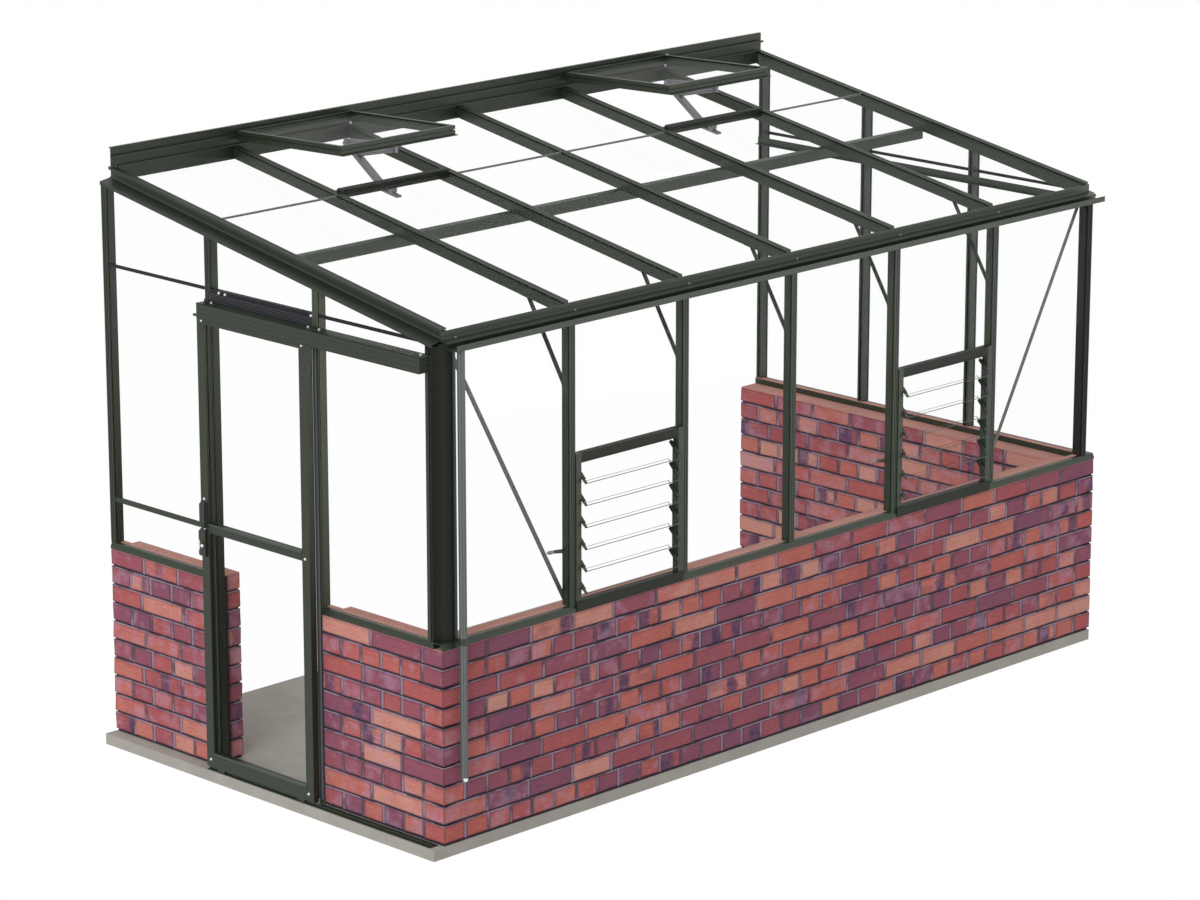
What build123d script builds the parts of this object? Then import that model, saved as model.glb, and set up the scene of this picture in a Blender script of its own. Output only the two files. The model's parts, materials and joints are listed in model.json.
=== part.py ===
"""Lean-to greenhouse on a brick dwarf wall, in millimetres.

+X runs along the front from the door end to the far end, +Y points from the front to the house wall, +Z is up.
The origin is the middle of the brick outline, on the underside of the base slab.
"""
import os
from math import atan2, cos, degrees, hypot, radians, sin, tan

from build123d import *

os.makedirs("parts", exist_ok=True)

# Module of the frame
bay = 620.0                 # spacing of the glazing bars
front_bays = 6
end_bays = 3
corner_reach = 68.0         # brick face to the first grid line

# Base slab and brick dwarf wall
slab_thick = 45.0
slab_lip = 53.0             # the slab carries the door track outside the door end
wall_height = 770.0
wall_thick = 150.0
reveal_gap = 1.0            # door jamb to brick

# Glazing bar section
frame_setback = 4.0         # outer faces of the bars behind the brick faces
cap_wide = 30.0
cap_thick = 4.0
cap_groove_near = 3.5       # edges of the cap's two grooves, from its middle
cap_groove_far = 7.0
cap_groove_deep = 1.5
neck_wide = 8.0
body_wide = 28.0            # channel behind the glass
body_wall = 3.0
slot_wide = 9.0             # bolt slot along the channel's back
mullion_depth = 43.0
rafter_depth = 50.0

# Glass and its seat
glass_thick = 4.0
seat_gap = 0.3              # glass to aluminium

# Sill on the brick wall
sill_deep = 52.0
sill_tall = 26.0
sill_nose = 10.0            # upright nose under the sloping face
sill_slope = 8.0            # depth of the sloping face
sill_wall = 3.0

# Roof
roof_pitch = 10.0
eaves_height = 2034.0       # top of the rafter caps at their lower ends
rafter_foot_inset = 41.0    # rafter ends behind the brick face
end_rafter_wide = 75.0      # nose to the inner edge of the cap
end_rafter_web = 57.0       # nose to the web
end_rafter_web_thick = 5.0
end_rafter_lip = 11.0       # outer edge of the cap, turned down
end_rafter_deep = 65.0
end_rafter_nose = 13.0
end_rafter_fall = 8.0       # of the flare, from the web to the nose
end_rafter_bend = 9.0       # hollow between web and flare
end_rafter_wall = 3.0

# Eaves beam, and the cornice with its gutter
beam_drop = 84.0            # underside of the eaves beam below the eaves height
beam_wall = 4.0
neck_wall = 4.0             # upright of the cornice, in front of the rafter ends
flare_reach = 3.0           # nose of the cornice in front of the brick face
flare_drop = 55.0           # underside of the nose below the eaves height
flare_nose = 7.0
flare_fall = 6.0            # from the neck to the nose
flare_bend = 9.0            # hollow between neck and flare
flare_wall = 4.0
gutter_drop = 72.0          # underside of the gutter below the eaves height
gutter_reach = 50.0         # lip in front of the brick face
gutter_lip = 22.5
gutter_wall = 3.0
gutter_inset = 42.0         # ends from the brick faces
pane_drip = 4.0             # roof glass beyond the neck

# Wall plate along the house wall
plate_stand = 18.0          # front of the lower web off the house wall
plate_wall = 4.0
plate_ledge = 8.0
plate_ledge_thick = 6.0
plate_face_stand = 12.0
plate_hook_rise = 38.0      # hinge trough above the ledge
plate_hook_reach = 16.0
plate_top_rise = 80.0
plate_inset = 50.0          # ends of the upper part from the brick faces

# Purlin, braces, rails and glazing strips
purlin_place = 950.0        # behind the brick face
purlin_tall = 46.0
purlin_flange = 25.0
purlin_wall = 4.0
purlin_end_gap = 1.0
strap_wide = 20.0
strap_thick = 3.0
knee_reach = 190.0
knee_drop = 310.0
knee_tab = 35.0
brace_inset = 70.0          # upper end of the door end's diagonal brace beyond the corner grid line
far_brace_inset = 15.0      # and of the far end's
brace_end = 14.0            # brace ends from the edges of what they are fixed to
tie_drop = 98.0             # underside below the eaves height
tie_tall = 32.0
tie_deep = 20.0
tie_wall = 3.0
strip_tall = 12.0
strip_wall = 2.0
roof_strip_tall = 3.0
high_strip_drop = 49.0      # below the eaves height
low_strip_rise = 184.0      # above the sill
low_strip_tall = 20.0

# Roof vents
vent_bays = (1, 4)          # counted from the door end; a louvre window is below each vent
vent_long = 632.0
vent_lift = 2.0             # degrees above level
vent_bar_wide = 14.0
vent_bar_tall = 40.0
vent_drop = 26.0            # underside of the bars below the hinge line
vent_cover = 4.0            # frame above the glass
vent_bite = 8.0
vent_groove_tall = 5.0      # groove round the outside of the frame
vent_groove_deep = 5.0
vent_groove_rise = 20.0     # above the underside of the bars
vent_lip = 14.0             # drip lip in front of the free rail
vent_lip_thick = 4.0
hinge_play = 1.0            # bead to the sides of the hook
hinge_strap = 4.0
hinge_gap = 2.0             # vent to the hook of the wall plate
hinge_long = 560.0
slam_lap = 13.0             # lower edge inside the vent's length, down the slope from the hinge
slam_deep = 32.0
slam_rise = 12.0            # above the rafter caps
slam_drop = 26.0            # below the rafter caps
slam_wall = 4.0
slam_shadow = 3.0           # groove between its two layers
joint_ahead = 14.0          # joint of the two panes of a roof bay, in front of the slam bars
opener_wide = 28.0          # foot and channel arm
opener_arm_deep = 20.0
opener_wall = 3.0
opener_strap = 22.0
opener_thick = 5.0
opener_barrel = 9.0         # radius
opener_bracket = 24.0
opener_bracket_wide = 14.0
opener_bracket_rise = 16.0  # free rail's bracket above the underside of the bars
opener_bracket_drop = 30.0  # and below it
opener_foot_ahead = 30.0    # foot plate in front of the slam bar's lower edge
opener_foot_back = 60.0     # and behind it
opener_foot_drop = 56.0     # underside below the rafter caps
opener_foot_thick = 8.0
opener_elbow_share = 0.5    # elbow's distance from the hinge as a share of the vent's length
opener_elbow_drop = 40.0    # below the vent's plane
opener_barrel_share = 0.72  # cylinder's joint as a share of the channel arm

# Louvre windows
louvre_tall = 600.0
louvre_stile = 28.0
louvre_rail = 38.0
louvre_deep = 30.0
louvre_out = 4.0            # frame face in front of the bar caps
blade_count = 6
blade_wide = 100.0
blade_tilt = 45.0
blade_thick = 4.0
clip_long = 14.0
clip_web = 4.0              # end of a clip behind the glass
clip_tall = 8.0
clip_share = 0.65           # clip as a share of the blade's width
link_wide = 10.0
link_thick = 4.0
lever_height = 250.0        # above the sill
lever_long = 70.0
lever_thick = 10.0
lever_boss = 24.0

# Sliding door
door_overlap = 22.0         # leaf beyond the clear opening on each side
door_face = 48.0            # outer face of the leaf in front of the brick face
door_thick = 25.0
stile_wide = 44.0
door_clear = 17.0           # under the leaf, above the slab
door_lap = 20.0             # leaf behind the track's skin
door_bite = 8.0             # glass in the grooves of the leaf
mid_rail_height = 1046.0
mid_rail_tall = 38.0
bottom_rail_tall = 60.0
top_rail_tall = 40.0
head_rise = 40.0            # top above the underside of the eaves beam
head_lap = 5.0              # behind the door track
head_deep = 20.0
head_wall = 3.0
running_gap = 0.3
roller_radius = 12.0
roller_wide = 8.0
roller_inset = 80.0
roller_place = 14.0         # middle of the roller in front of the brick face
axle_radius = 4.0
hanger_wide = 30.0
hanger_thick = 5.0
track_drop = 154.0          # lower edge below the eaves height
track_wall = 3.0
track_gap = 7.0             # leaf to the track's outer skin
track_ledge = 20.0
track_ledge_rise = 24.0     # underside of the ledge above the track's lower edge
track_room = 8.0            # over the rollers
track_rear_inset = 11.0     # rear end from the leaf's edge
track_front_inset = 22.0
sill_track_wide = 42.0
sill_track_thick = 3.0
sill_track_off = 4.0        # off the brick face
sill_track_front = 30.0
rib_tall = 12.0
rib_thick = 4.0
guide_gap = 1.0
guide_long = 40.0
guide_wide = 18.0
handle_tall = 100.0
handle_wide = 34.0
handle_thick = 4.0
handle_grip = 16.0
latch_tall = 110.0
latch_wide = 30.0
latch_thick = 9.0
lock_gap = 8.0              # handle to latch plate
lock_radius = 8.0
lock_out = 5.0

# Downpipe
pipe_radius = 15.0
pipe_wall = 2.0
pipe_place = 79.0           # from the brick face of the door end
pipe_out = 30.0             # in front of the brick face
pipe_bottom = 290.0
pipe_cut = 35.0             # slant of the lower end, in degrees
band_gap = 0.3
band_wall = 3.0
band_tall = 22.0
band_drop = 12.0            # middle of the clip below the sill's nose
band_stem = 12.0

# Places worked out from the sizes above
length = front_bays * bay + 2 * corner_reach
depth = end_bays * bay + corner_reach + cap_wide / 2
x_left = -length / 2
x_right = length / 2
y_front = -depth / 2
y_house = depth / 2
wall_top = slab_thick + wall_height
sill_top = wall_top + sill_tall
beam_bottom = eaves_height - beam_drop
gutter_bottom = eaves_height - gutter_drop
tie_bottom = eaves_height - tie_drop
high_strip_height = eaves_height - high_strip_drop
low_strip_height = sill_top + low_strip_rise
track_bottom = eaves_height - track_drop
ledge_top = track_bottom + track_ledge_rise + track_wall
axle_z = ledge_top + running_gap + roller_radius
track_top = axle_z + roller_radius + track_room + track_wall
head_bottom = track_top - head_lap
head_top = beam_bottom + head_rise
x_grid = [x_left + corner_reach + bay * k for k in range(front_bays + 1)]
y_grid = [y_front + corner_reach + bay * k for k in range(end_bays + 1)]
x_frame_left = x_left + frame_setback
x_frame_right = x_right - frame_setback
y_frame = y_front + frame_setback
y_inner = y_frame + mullion_depth
y_foot = y_front + rafter_foot_inset
y_neck = y_foot - neck_wall
flare_low = eaves_height - flare_drop
y_plate = y_house - plate_stand
rise = tan(radians(roof_pitch))
run_share = cos(radians(roof_pitch))
rise_share = sin(radians(roof_pitch))
glass_out = cap_thick + seat_gap
glass_in = glass_out + glass_thick
seat = glass_in + seat_gap
glass_edge = neck_wide / 2 + seat_gap
cap_edge = cap_wide / 2 + seat_gap


def roof_z(y):
    """Height of the upper face of the rafter caps at y."""
    return eaves_height + (y - y_foot) * rise


def roof_under(y, drop):
    """Height at y of the plane that lies drop below the caps, measured square to the roof."""
    return roof_z(y) - drop / run_share


def up_slope(y):
    """Distance up the slope from the rafters' lower ends to y."""
    return (y - y_foot) / run_share


def roof_section(x, side=1):
    """Plane across the slope at x: its X points along +X, or -X for side -1, and its Y down into the roof."""
    return Plane(origin=(x, y_foot, eaves_height), x_dir=(side, 0, 0), z_dir=(0, side * run_share, side * rise_share))


def roof_profile(x):
    """Plane at x whose X runs up the slope and whose Y stands square to the roof."""
    return Plane(origin=(x, y_foot, eaves_height), x_dir=(0, run_share, rise_share), z_dir=(1, 0, 0))


def under_plane(drop):
    """Plane parallel to the roof, drop below the caps, facing up."""
    origin = (0, y_foot, roof_under(y_foot, drop))
    return Plane(origin=origin, x_dir=(1, 0, 0), z_dir=(0, -rise_share, run_share))


def upright_y(y):
    """Upright plane across the building at y, facing the house."""
    return Plane(origin=(0, y, 0), x_dir=(1, 0, 0), z_dir=(0, 1, 0))


def across(x):
    """Upright plane at x: its X is +Y, its Y is +Z."""
    return Plane(origin=(x, 0, 0), x_dir=(0, 1, 0), z_dir=(1, 0, 0))


def along(y):
    """Upright plane at y: its X is -X, its Y is +Z, its normal +Y."""
    return Plane(origin=(0, y, 0), x_dir=(-1, 0, 0), z_dir=(0, 1, 0))


def front_place(x, z):
    """Plan plane of an upright in the front, its Y pointing indoors."""
    return Plane(origin=(x, y_frame, z), x_dir=(1, 0, 0), z_dir=(0, 0, 1))


def left_place(y, z):
    """Plan plane of an upright in the door end, its Y pointing indoors."""
    return Plane(origin=(x_frame_left, y, z), x_dir=(0, -1, 0), z_dir=(0, 0, 1))


def right_place(y, z):
    """Plan plane of an upright in the far end, its Y pointing indoors."""
    return Plane(origin=(x_frame_right, y, z), x_dir=(0, 1, 0), z_dir=(0, 0, 1))


def keep(piece, name):
    """Label a finished piece and write its file."""
    piece.part.label = name
    export_step(piece.part, f"parts/{name}.step")


def outline(*points):
    """Draw a closed outline through the points."""
    Polygon(*points, align=None)


def block(x0, x1, y0, y1, z0, z1, mode=Mode.ADD):
    """Add or cut a plain block between two corners."""
    with Locations(((x0 + x1) / 2, (y0 + y1) / 2, (z0 + z1) / 2)):
        Box(x1 - x0, y1 - y0, z1 - z0, mode=mode)


def bar_section(bar_depth):
    """Draw a glazing bar: grooved cap, neck between the panes, and a channel with a bolt slot in its back."""
    half = (
        (cap_groove_near, 0),
        (cap_groove_near, cap_groove_deep),
        (cap_groove_far, cap_groove_deep),
        (cap_groove_far, 0),
        (cap_wide / 2, 0),
        (cap_wide / 2, cap_thick),
        (neck_wide / 2, cap_thick),
        (neck_wide / 2, seat),
        (body_wide / 2, seat),
        (body_wide / 2, bar_depth),
        (slot_wide / 2, bar_depth),
        (slot_wide / 2, bar_depth - body_wall),
        (body_wide / 2 - body_wall, bar_depth - body_wall),
        (body_wide / 2 - body_wall, seat + body_wall),
    )
    outline(*half, *[(-a, b) for a, b in reversed(half)])


# Base slab, with a lip under the door track
with BuildPart() as floor_slab:
    block(x_left - slab_lip, x_right, y_front, y_house, 0, slab_thick)
keep(floor_slab, "floor_slab")

# Brick dwarf wall in four straight pieces
opening_front = y_grid[1] - cap_wide / 2 - reveal_gap
opening_rear = y_grid[2] + cap_wide / 2 + reveal_gap

with BuildPart() as front_wall:
    block(x_left, x_right, y_front, y_front + wall_thick, slab_thick, wall_top)
keep(front_wall, "front_wall")

with BuildPart() as right_end_wall:
    block(x_right - wall_thick, x_right, y_front + wall_thick, y_house, slab_thick, wall_top)
keep(right_end_wall, "right_end_wall")

with BuildPart() as left_end_wall_front:
    block(x_left, x_left + wall_thick, y_front + wall_thick, opening_front, slab_thick, wall_top)
keep(left_end_wall_front, "left_end_wall_front")

with BuildPart() as left_end_wall_rear:
    block(x_left, x_left + wall_thick, opening_rear, y_house, slab_thick, wall_top)
keep(left_end_wall_rear, "left_end_wall_rear")


# Sills
def sill_section(side=1):
    """Draw the sill: a channel open below, with an upright nose and a sloping face."""
    points = (
        (0, 0),
        (0, sill_nose),
        (sill_slope, sill_tall),
        (sill_deep, sill_tall),
        (sill_deep, 0),
        (sill_deep - sill_wall, 0),
        (sill_deep - sill_wall, sill_tall - sill_wall),
        (sill_slope + sill_wall, sill_tall - sill_wall),
        (sill_wall, sill_nose - sill_wall),
        (sill_wall, 0),
    )
    outline(*[(side * a, b) for a, b in points])


with BuildPart() as front_sill:
    with BuildSketch(Plane(origin=(x_left, y_front, wall_top), x_dir=(0, 1, 0), z_dir=(1, 0, 0))):
        sill_section()
    extrude(amount=length)
keep(front_sill, "front_sill")

end_sill_start = y_front + sill_deep

with BuildPart() as right_end_sill:
    with BuildSketch(Plane(origin=(x_right, end_sill_start, wall_top), x_dir=(-1, 0, 0), z_dir=(0, 1, 0))):
        sill_section()
    extrude(amount=y_house - end_sill_start)
keep(right_end_sill, "right_end_sill")

with BuildPart() as left_end_sills:
    for start, stop in ((end_sill_start, opening_front), (opening_rear, y_house)):
        with BuildSketch(Plane(origin=(x_left, start, wall_top), x_dir=(-1, 0, 0), z_dir=(0, 1, 0))):
            sill_section(-1)
        extrude(amount=stop - start)
keep(left_end_sills, "left_end_sills")

# Uprights of the front
with BuildPart() as front_mullions:
    for x in x_grid[1:-1]:
        with BuildSketch(front_place(x, sill_top)):
            bar_section(mullion_depth)
        extrude(amount=beam_bottom - sill_top)
keep(front_mullions, "front_mullions")

# Corner posts: a bar for each wall, joined by a hollow quarter round, cut out for the end rafters
corner_bar = corner_reach - frame_setback
cove = corner_bar - cap_wide / 2
post_tall = roof_z(y_house) - sill_top
end_rafter_front = y_front + gutter_inset

with BuildPart() as front_corner_posts:
    for place in (front_place(x_frame_left, sill_top), right_place(y_frame, sill_top)):
        with BuildSketch(place):
            Circle(cove + cap_thick)
            Circle(cove, mode=Mode.SUBTRACT)
            Rectangle(corner_bar, corner_bar, align=(Align.MIN, Align.MIN), mode=Mode.INTERSECT)
            with Locations((corner_bar, 0)):
                bar_section(mullion_depth)
            with Locations(Location((0, corner_bar, 0), (0, 0, -90))):
                bar_section(mullion_depth)
        extrude(amount=flare_low - sill_top)
    with BuildSketch(across(x_left)):
        outline(
            (end_rafter_front, roof_under(end_rafter_front, end_rafter_deep)),
            (end_rafter_front, roof_z(y_house)),
            (y_grid[1], roof_z(y_house)),
            (y_grid[1], roof_under(y_grid[1], end_rafter_deep)),
        )
    extrude(amount=length, mode=Mode.SUBTRACT)
keep(front_corner_posts, "front_corner_posts")

# Uprights of the ends, cut off under the end rafters
with BuildPart() as rear_posts:
    for place in (left_place(y_grid[3], sill_top), right_place(y_grid[3], sill_top)):
        with BuildSketch(place):
            bar_section(mullion_depth)
        extrude(amount=post_tall)
    split(bisect_by=under_plane(end_rafter_deep), keep=Keep.BOTTOM)
keep(rear_posts, "rear_posts")

with BuildPart() as left_end_mullions:
    for y in y_grid[1:3]:
        with BuildSketch(left_place(y, slab_thick)):
            bar_section(mullion_depth)
        extrude(amount=post_tall + sill_top - slab_thick)
    split(bisect_by=under_plane(end_rafter_deep), keep=Keep.BOTTOM)
keep(left_end_mullions, "left_end_mullions")

with BuildPart() as right_end_mullions:
    for y in y_grid[1:3]:
        with BuildSketch(right_place(y, sill_top)):
            bar_section(mullion_depth)
        extrude(amount=post_tall)
    split(bisect_by=under_plane(end_rafter_deep), keep=Keep.BOTTOM)
keep(right_end_mullions, "right_end_mullions")

# Eaves beam: a tube between the corner posts whose top follows the roof
beam_start = x_grid[0] + cap_wide / 2
beam_stop = x_grid[-1] - cap_wide / 2


def beam_outline(wall):
    """Draw the beam's outline, drawn in by a wall thickness."""
    near = y_frame + wall
    far = y_inner - wall
    outline(
        (near, beam_bottom + wall),
        (near, roof_under(near, rafter_depth) - wall),
        (far, roof_under(far, rafter_depth) - wall),
        (far, beam_bottom + wall),
    )


with BuildPart() as eaves_beam:
    with BuildSketch(across(beam_start)):
        beam_outline(0)
    extrude(amount=beam_stop - beam_start)
    with BuildSketch(across(beam_start)):
        beam_outline(beam_wall)
    extrude(amount=beam_stop - beam_start, mode=Mode.SUBTRACT)
keep(eaves_beam, "eaves_beam")

# Cornice in front of the rafter ends, with the gutter under its nose
gutter_front = y_front - gutter_reach
gutter_start = x_left + gutter_inset
gutter_back = y_frame - gutter_wall
gutter_floor = gutter_bottom + gutter_wall
flare_front = y_front - flare_reach
flare_high = flare_low + flare_nose
flare_foot = flare_high + flare_fall
neck_top = roof_under(y_neck, glass_in) - seat_gap

with BuildPart() as gutter:
    with BuildSketch(across(gutter_start)):
        with BuildLine():
            Polyline(
                (y_neck - flare_bend, flare_foot),
                (flare_front, flare_high),
                (flare_front, flare_low),
                (gutter_back, flare_low),
                (gutter_back, gutter_floor),
                (gutter_front + gutter_wall, gutter_floor),
                (gutter_front + gutter_wall, gutter_bottom + gutter_lip),
                (gutter_front, gutter_bottom + gutter_lip),
                (gutter_front, gutter_bottom),
                (y_frame, gutter_bottom),
                (y_frame, flare_high - flare_wall),
                (y_foot, flare_foot - flare_wall),
                (y_foot, neck_top),
                (y_neck, neck_top),
                (y_neck, flare_foot + flare_bend),
            )
            RadiusArc((y_neck, flare_foot + flare_bend), (y_neck - flare_bend, flare_foot), flare_bend)
        make_face()
    extrude(amount=length - 2 * gutter_inset)
keep(gutter, "gutter")

# Wall plate: a channel against the house wall with a ledge over the rafters and a hook for the vents;
# its upper part runs on over the end rafters
plate_low = roof_under(y_plate, rafter_depth) - plate_wall
plate_ledge_z = roof_z(y_plate) + seat_gap
plate_step = plate_ledge_z + plate_ledge_thick
plate_face = y_house - plate_face_stand
hook_z = plate_ledge_z + plate_hook_rise
hook_front = plate_face - plate_hook_reach
hinge_bead = (plate_hook_reach - plate_wall) / 2 - hinge_play
hinge_y = (hook_front + plate_wall + plate_face) / 2
hinge_z = hook_z + plate_wall + seat_gap + hinge_bead
plate_top = plate_ledge_z + plate_top_rise
plate_over = roof_z(y_house) + seat_gap
plate_upper = (
    (plate_face, hook_z),
    (hook_front, hook_z),
    (hook_front, hinge_z),
    (hook_front + plate_wall, hinge_z),
    (hook_front + plate_wall, hook_z + plate_wall),
    (plate_face, hook_z + plate_wall),
    (plate_face, plate_top),
    (y_house, plate_top),
    (y_house, plate_top - plate_wall),
    (plate_face + plate_wall, plate_top - plate_wall),
)

with BuildPart() as wall_plate:
    with BuildSketch(across(x_left + end_rafter_wide)):
        outline(
            (y_plate, plate_low),
            (y_plate, plate_ledge_z),
            (y_plate - plate_ledge, plate_ledge_z),
            (y_plate - plate_ledge, plate_step),
            (plate_face, plate_step),
            *plate_upper,
            (plate_face + plate_wall, plate_step - plate_wall),
            (y_plate + plate_wall, plate_step - plate_wall),
            (y_plate + plate_wall, plate_low + plate_wall),
            (y_house, plate_low + plate_wall),
            (y_house, plate_low),
        )
    extrude(amount=length - 2 * end_rafter_wide)
    for start in (x_left + plate_inset, x_right - end_rafter_wide):
        with BuildSketch(across(start)):
            outline((plate_face, plate_over), *plate_upper, (plate_face + plate_wall, plate_over))
        extrude(amount=end_rafter_wide - plate_inset)
keep(wall_plate, "wall_plate")

# Rafters
with BuildPart() as rafters:
    for x in x_grid[1:-1]:
        with BuildSketch(roof_section(x)):
            bar_section(rafter_depth)
        extrude(amount=depth, both=True)
    split(bisect_by=upright_y(y_foot), keep=Keep.TOP)
    split(bisect_by=upright_y(y_plate), keep=Keep.BOTTOM)
keep(rafters, "rafters")

# End rafters: hollow edge bars with a flare along the outer side, as on the cornice
end_rafter_back = end_rafter_web + end_rafter_web_thick
end_rafter_cap = end_rafter_wide - cap_wide
end_cap_middle = end_rafter_wide - cap_wide / 2
end_groove = (cap_groove_near + cap_groove_far) / 2
flare_depth = end_rafter_deep - end_rafter_nose
flare_start = flare_depth - end_rafter_fall

with BuildPart() as end_rafters:
    for place in (roof_section(x_left), roof_section(x_right, -1)):
        with BuildSketch(place):
            with BuildLine():
                Polyline(
                    (end_rafter_web - end_rafter_bend, flare_start),
                    (0, flare_depth),
                    (0, end_rafter_deep),
                    (end_rafter_back, end_rafter_deep),
                    (end_rafter_back, seat + body_wall),
                    (end_rafter_wide, seat + body_wall),
                    (end_rafter_wide, seat),
                    (end_rafter_back, seat),
                    (end_rafter_back, cap_thick),
                    (end_rafter_wide, cap_thick),
                    (end_rafter_wide, 0),
                    (end_rafter_cap, 0),
                    (end_rafter_cap, end_rafter_lip),
                    (end_rafter_cap + end_rafter_wall, end_rafter_lip),
                    (end_rafter_cap + end_rafter_wall, cap_thick),
                    (end_rafter_web, cap_thick),
                    (end_rafter_web, flare_start - end_rafter_bend),
                )
                RadiusArc(
                    (end_rafter_web, flare_start - end_rafter_bend),
                    (end_rafter_web - end_rafter_bend, flare_start),
                    -end_rafter_bend,
                )
            make_face()
            with Locations(
                (end_cap_middle - end_groove, cap_groove_deep / 2),
                (end_cap_middle + end_groove, cap_groove_deep / 2),
            ):
                Rectangle(cap_groove_far - cap_groove_near, cap_groove_deep, mode=Mode.SUBTRACT)
            with BuildLine():
                Polyline(
                    (end_rafter_wall, flare_depth + end_rafter_wall),
                    (end_rafter_web - end_rafter_bend, flare_start + end_rafter_wall),
                    (end_rafter_web, flare_start + end_rafter_wall),
                    (end_rafter_web, end_rafter_deep - end_rafter_wall),
                    (end_rafter_wall, end_rafter_deep - end_rafter_wall),
                    close=True,
                )
            make_face(mode=Mode.SUBTRACT)
        extrude(amount=depth, both=True)
    split(bisect_by=upright_y(end_rafter_front), keep=Keep.TOP)
    split(bisect_by=upright_y(y_house), keep=Keep.BOTTOM)
keep(end_rafters, "end_rafters")

# Purlin: an angle under the rafters
purlin_y = y_front + purlin_place
purlin_back = purlin_y + purlin_flange
purlin_inset = end_rafter_back + purlin_end_gap
purlin_drop = rafter_depth + purlin_wall

with BuildPart() as purlin:
    with BuildSketch(across(x_left + purlin_inset)):
        outline(
            (purlin_y, roof_under(purlin_y, rafter_depth)),
            (purlin_back, roof_under(purlin_back, rafter_depth)),
            (purlin_back, roof_under(purlin_back, purlin_drop)),
            (purlin_y + purlin_wall, roof_under(purlin_y + purlin_wall, purlin_drop)),
            (purlin_y + purlin_wall, roof_under(purlin_y, rafter_depth) - purlin_tall),
            (purlin_y, roof_under(purlin_y, rafter_depth) - purlin_tall),
        )
    extrude(amount=length - 2 * purlin_inset)
keep(purlin, "purlin")

# Knee braces: bent straps from the rafters to the mullions
knee_y = y_inner + knee_reach
knee_z = roof_under(knee_y, rafter_depth)
knee_low = knee_z - knee_drop

with BuildPart() as knee_braces:
    for x in x_grid[1:-1]:
        with BuildSketch(across(x - strap_wide / 2)):
            with BuildLine():
                Polyline(
                    (knee_y + knee_tab, roof_under(knee_y + knee_tab, rafter_depth)),
                    (knee_y, knee_z),
                    (y_inner, knee_low),
                    (y_inner, knee_low - knee_tab),
                )
                offset(amount=strap_thick, side=Side.LEFT)
            make_face()
        extrude(amount=strap_wide)
keep(knee_braces, "knee_braces")

# Diagonal braces: flat straps across the first and last bays of the front
with BuildPart() as diagonal_braces:
    for top, foot in ((x_grid[0] + brace_inset, x_grid[1]), (x_grid[-1] - far_brace_inset, x_grid[-2])):
        high = (top, beam_bottom + brace_end)
        low = (foot, sill_top + brace_end)
        reach = hypot(high[0] - low[0], high[1] - low[1])
        turn = degrees(atan2(high[1] - low[1], high[0] - low[0]))
        middle = ((high[0] + low[0]) / 2, y_inner + strap_thick / 2, (high[1] + low[1]) / 2)
        with Locations(Location(middle, (0, -turn, 0))):
            Box(reach, strap_thick, strap_wide)
keep(diagonal_braces, "diagonal_braces")

# Tie rail inside the far end, an angle on the backs of the bars
tie_face = x_frame_right - mullion_depth
tie_start = y_grid[0] - body_wide / 2

with BuildPart() as right_end_tie_rail:
    block(tie_face - tie_wall, tie_face, tie_start, y_house, tie_bottom, tie_bottom + tie_tall)
    block(tie_face - tie_deep, tie_face - tie_wall, tie_start, y_house, tie_bottom, tie_bottom + tie_wall)
keep(right_end_tie_rail, "right_end_tie_rail")

# Door head between the jambs
head_start = y_grid[1] + cap_edge
head_stop = y_grid[2] - cap_edge

with BuildPart() as door_head:
    block(x_frame_left, x_frame_left + head_deep, head_start, head_stop, head_bottom, head_top)
    block(
        x_frame_left + head_wall,
        x_frame_left + head_deep,
        head_start,
        head_stop,
        head_bottom + head_wall,
        head_top - head_wall,
        mode=Mode.SUBTRACT,
    )
keep(door_head, "door_head")

# Glazing strips: H bars between one pane and the next, in the ends and along the roof joint
strip_out = glass_out - seat_gap - strip_wall
strip_in = glass_in + seat_gap + strip_wall


def strip_section(tall):
    """Draw an H bar: two flanges that hold the glass, and a web between the panes."""
    with Locations(((strip_out + glass_out - seat_gap) / 2, 0), ((strip_in + glass_in + seat_gap) / 2, 0)):
        Rectangle(strip_wall, tall)
    with Locations(((glass_out + glass_in) / 2, 0)):
        Rectangle(glass_thick + 2 * seat_gap, strip_wall)


slam_low = up_slope(hinge_y) - vent_long + slam_lap
roof_strip_u = slam_low - joint_ahead
plain_roof_bays = [k for k in range(front_bays) if k not in vent_bays]


def roof_span(k):
    """The ends in x of what lies between the caps of roof bay k."""
    start = x_left + end_rafter_wide + seat_gap if k == 0 else x_grid[k] + cap_edge
    last = k == front_bays - 1
    stop = x_right - end_rafter_wide - seat_gap if last else x_grid[k + 1] - cap_edge
    return start, stop


with BuildPart() as glazing_strips:
    for start, stop, z, tall in (
        (y_grid[0] + cap_edge, y_grid[1] - cap_edge, high_strip_height, strip_tall),
        (y_grid[2] + cap_edge, y_grid[3] - cap_edge, high_strip_height, strip_tall),
        (y_grid[2] + cap_edge, y_grid[3] - cap_edge, low_strip_height, low_strip_tall),
    ):
        with BuildSketch(Plane(origin=(x_frame_left, stop, z), x_dir=(1, 0, 0), z_dir=(0, -1, 0))):
            strip_section(tall)
        extrude(amount=stop - start)
    for k in range(end_bays):
        start, stop = y_grid[k] + cap_edge, y_grid[k + 1] - cap_edge
        with BuildSketch(Plane(origin=(x_frame_right, start, high_strip_height), x_dir=(-1, 0, 0), z_dir=(0, 1, 0))):
            strip_section(strip_tall)
        extrude(amount=stop - start)
    split(bisect_by=under_plane(end_rafter_deep + seat_gap), keep=Keep.BOTTOM)
    for k in plain_roof_bays:
        start, stop = roof_span(k)
        with BuildSketch(Plane(roof_profile(start).origin, x_dir=(0, rise_share, -run_share), z_dir=(1, 0, 0))):
            with Locations((0, roof_strip_u)):
                strip_section(roof_strip_tall)
        extrude(amount=stop - start)
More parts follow.
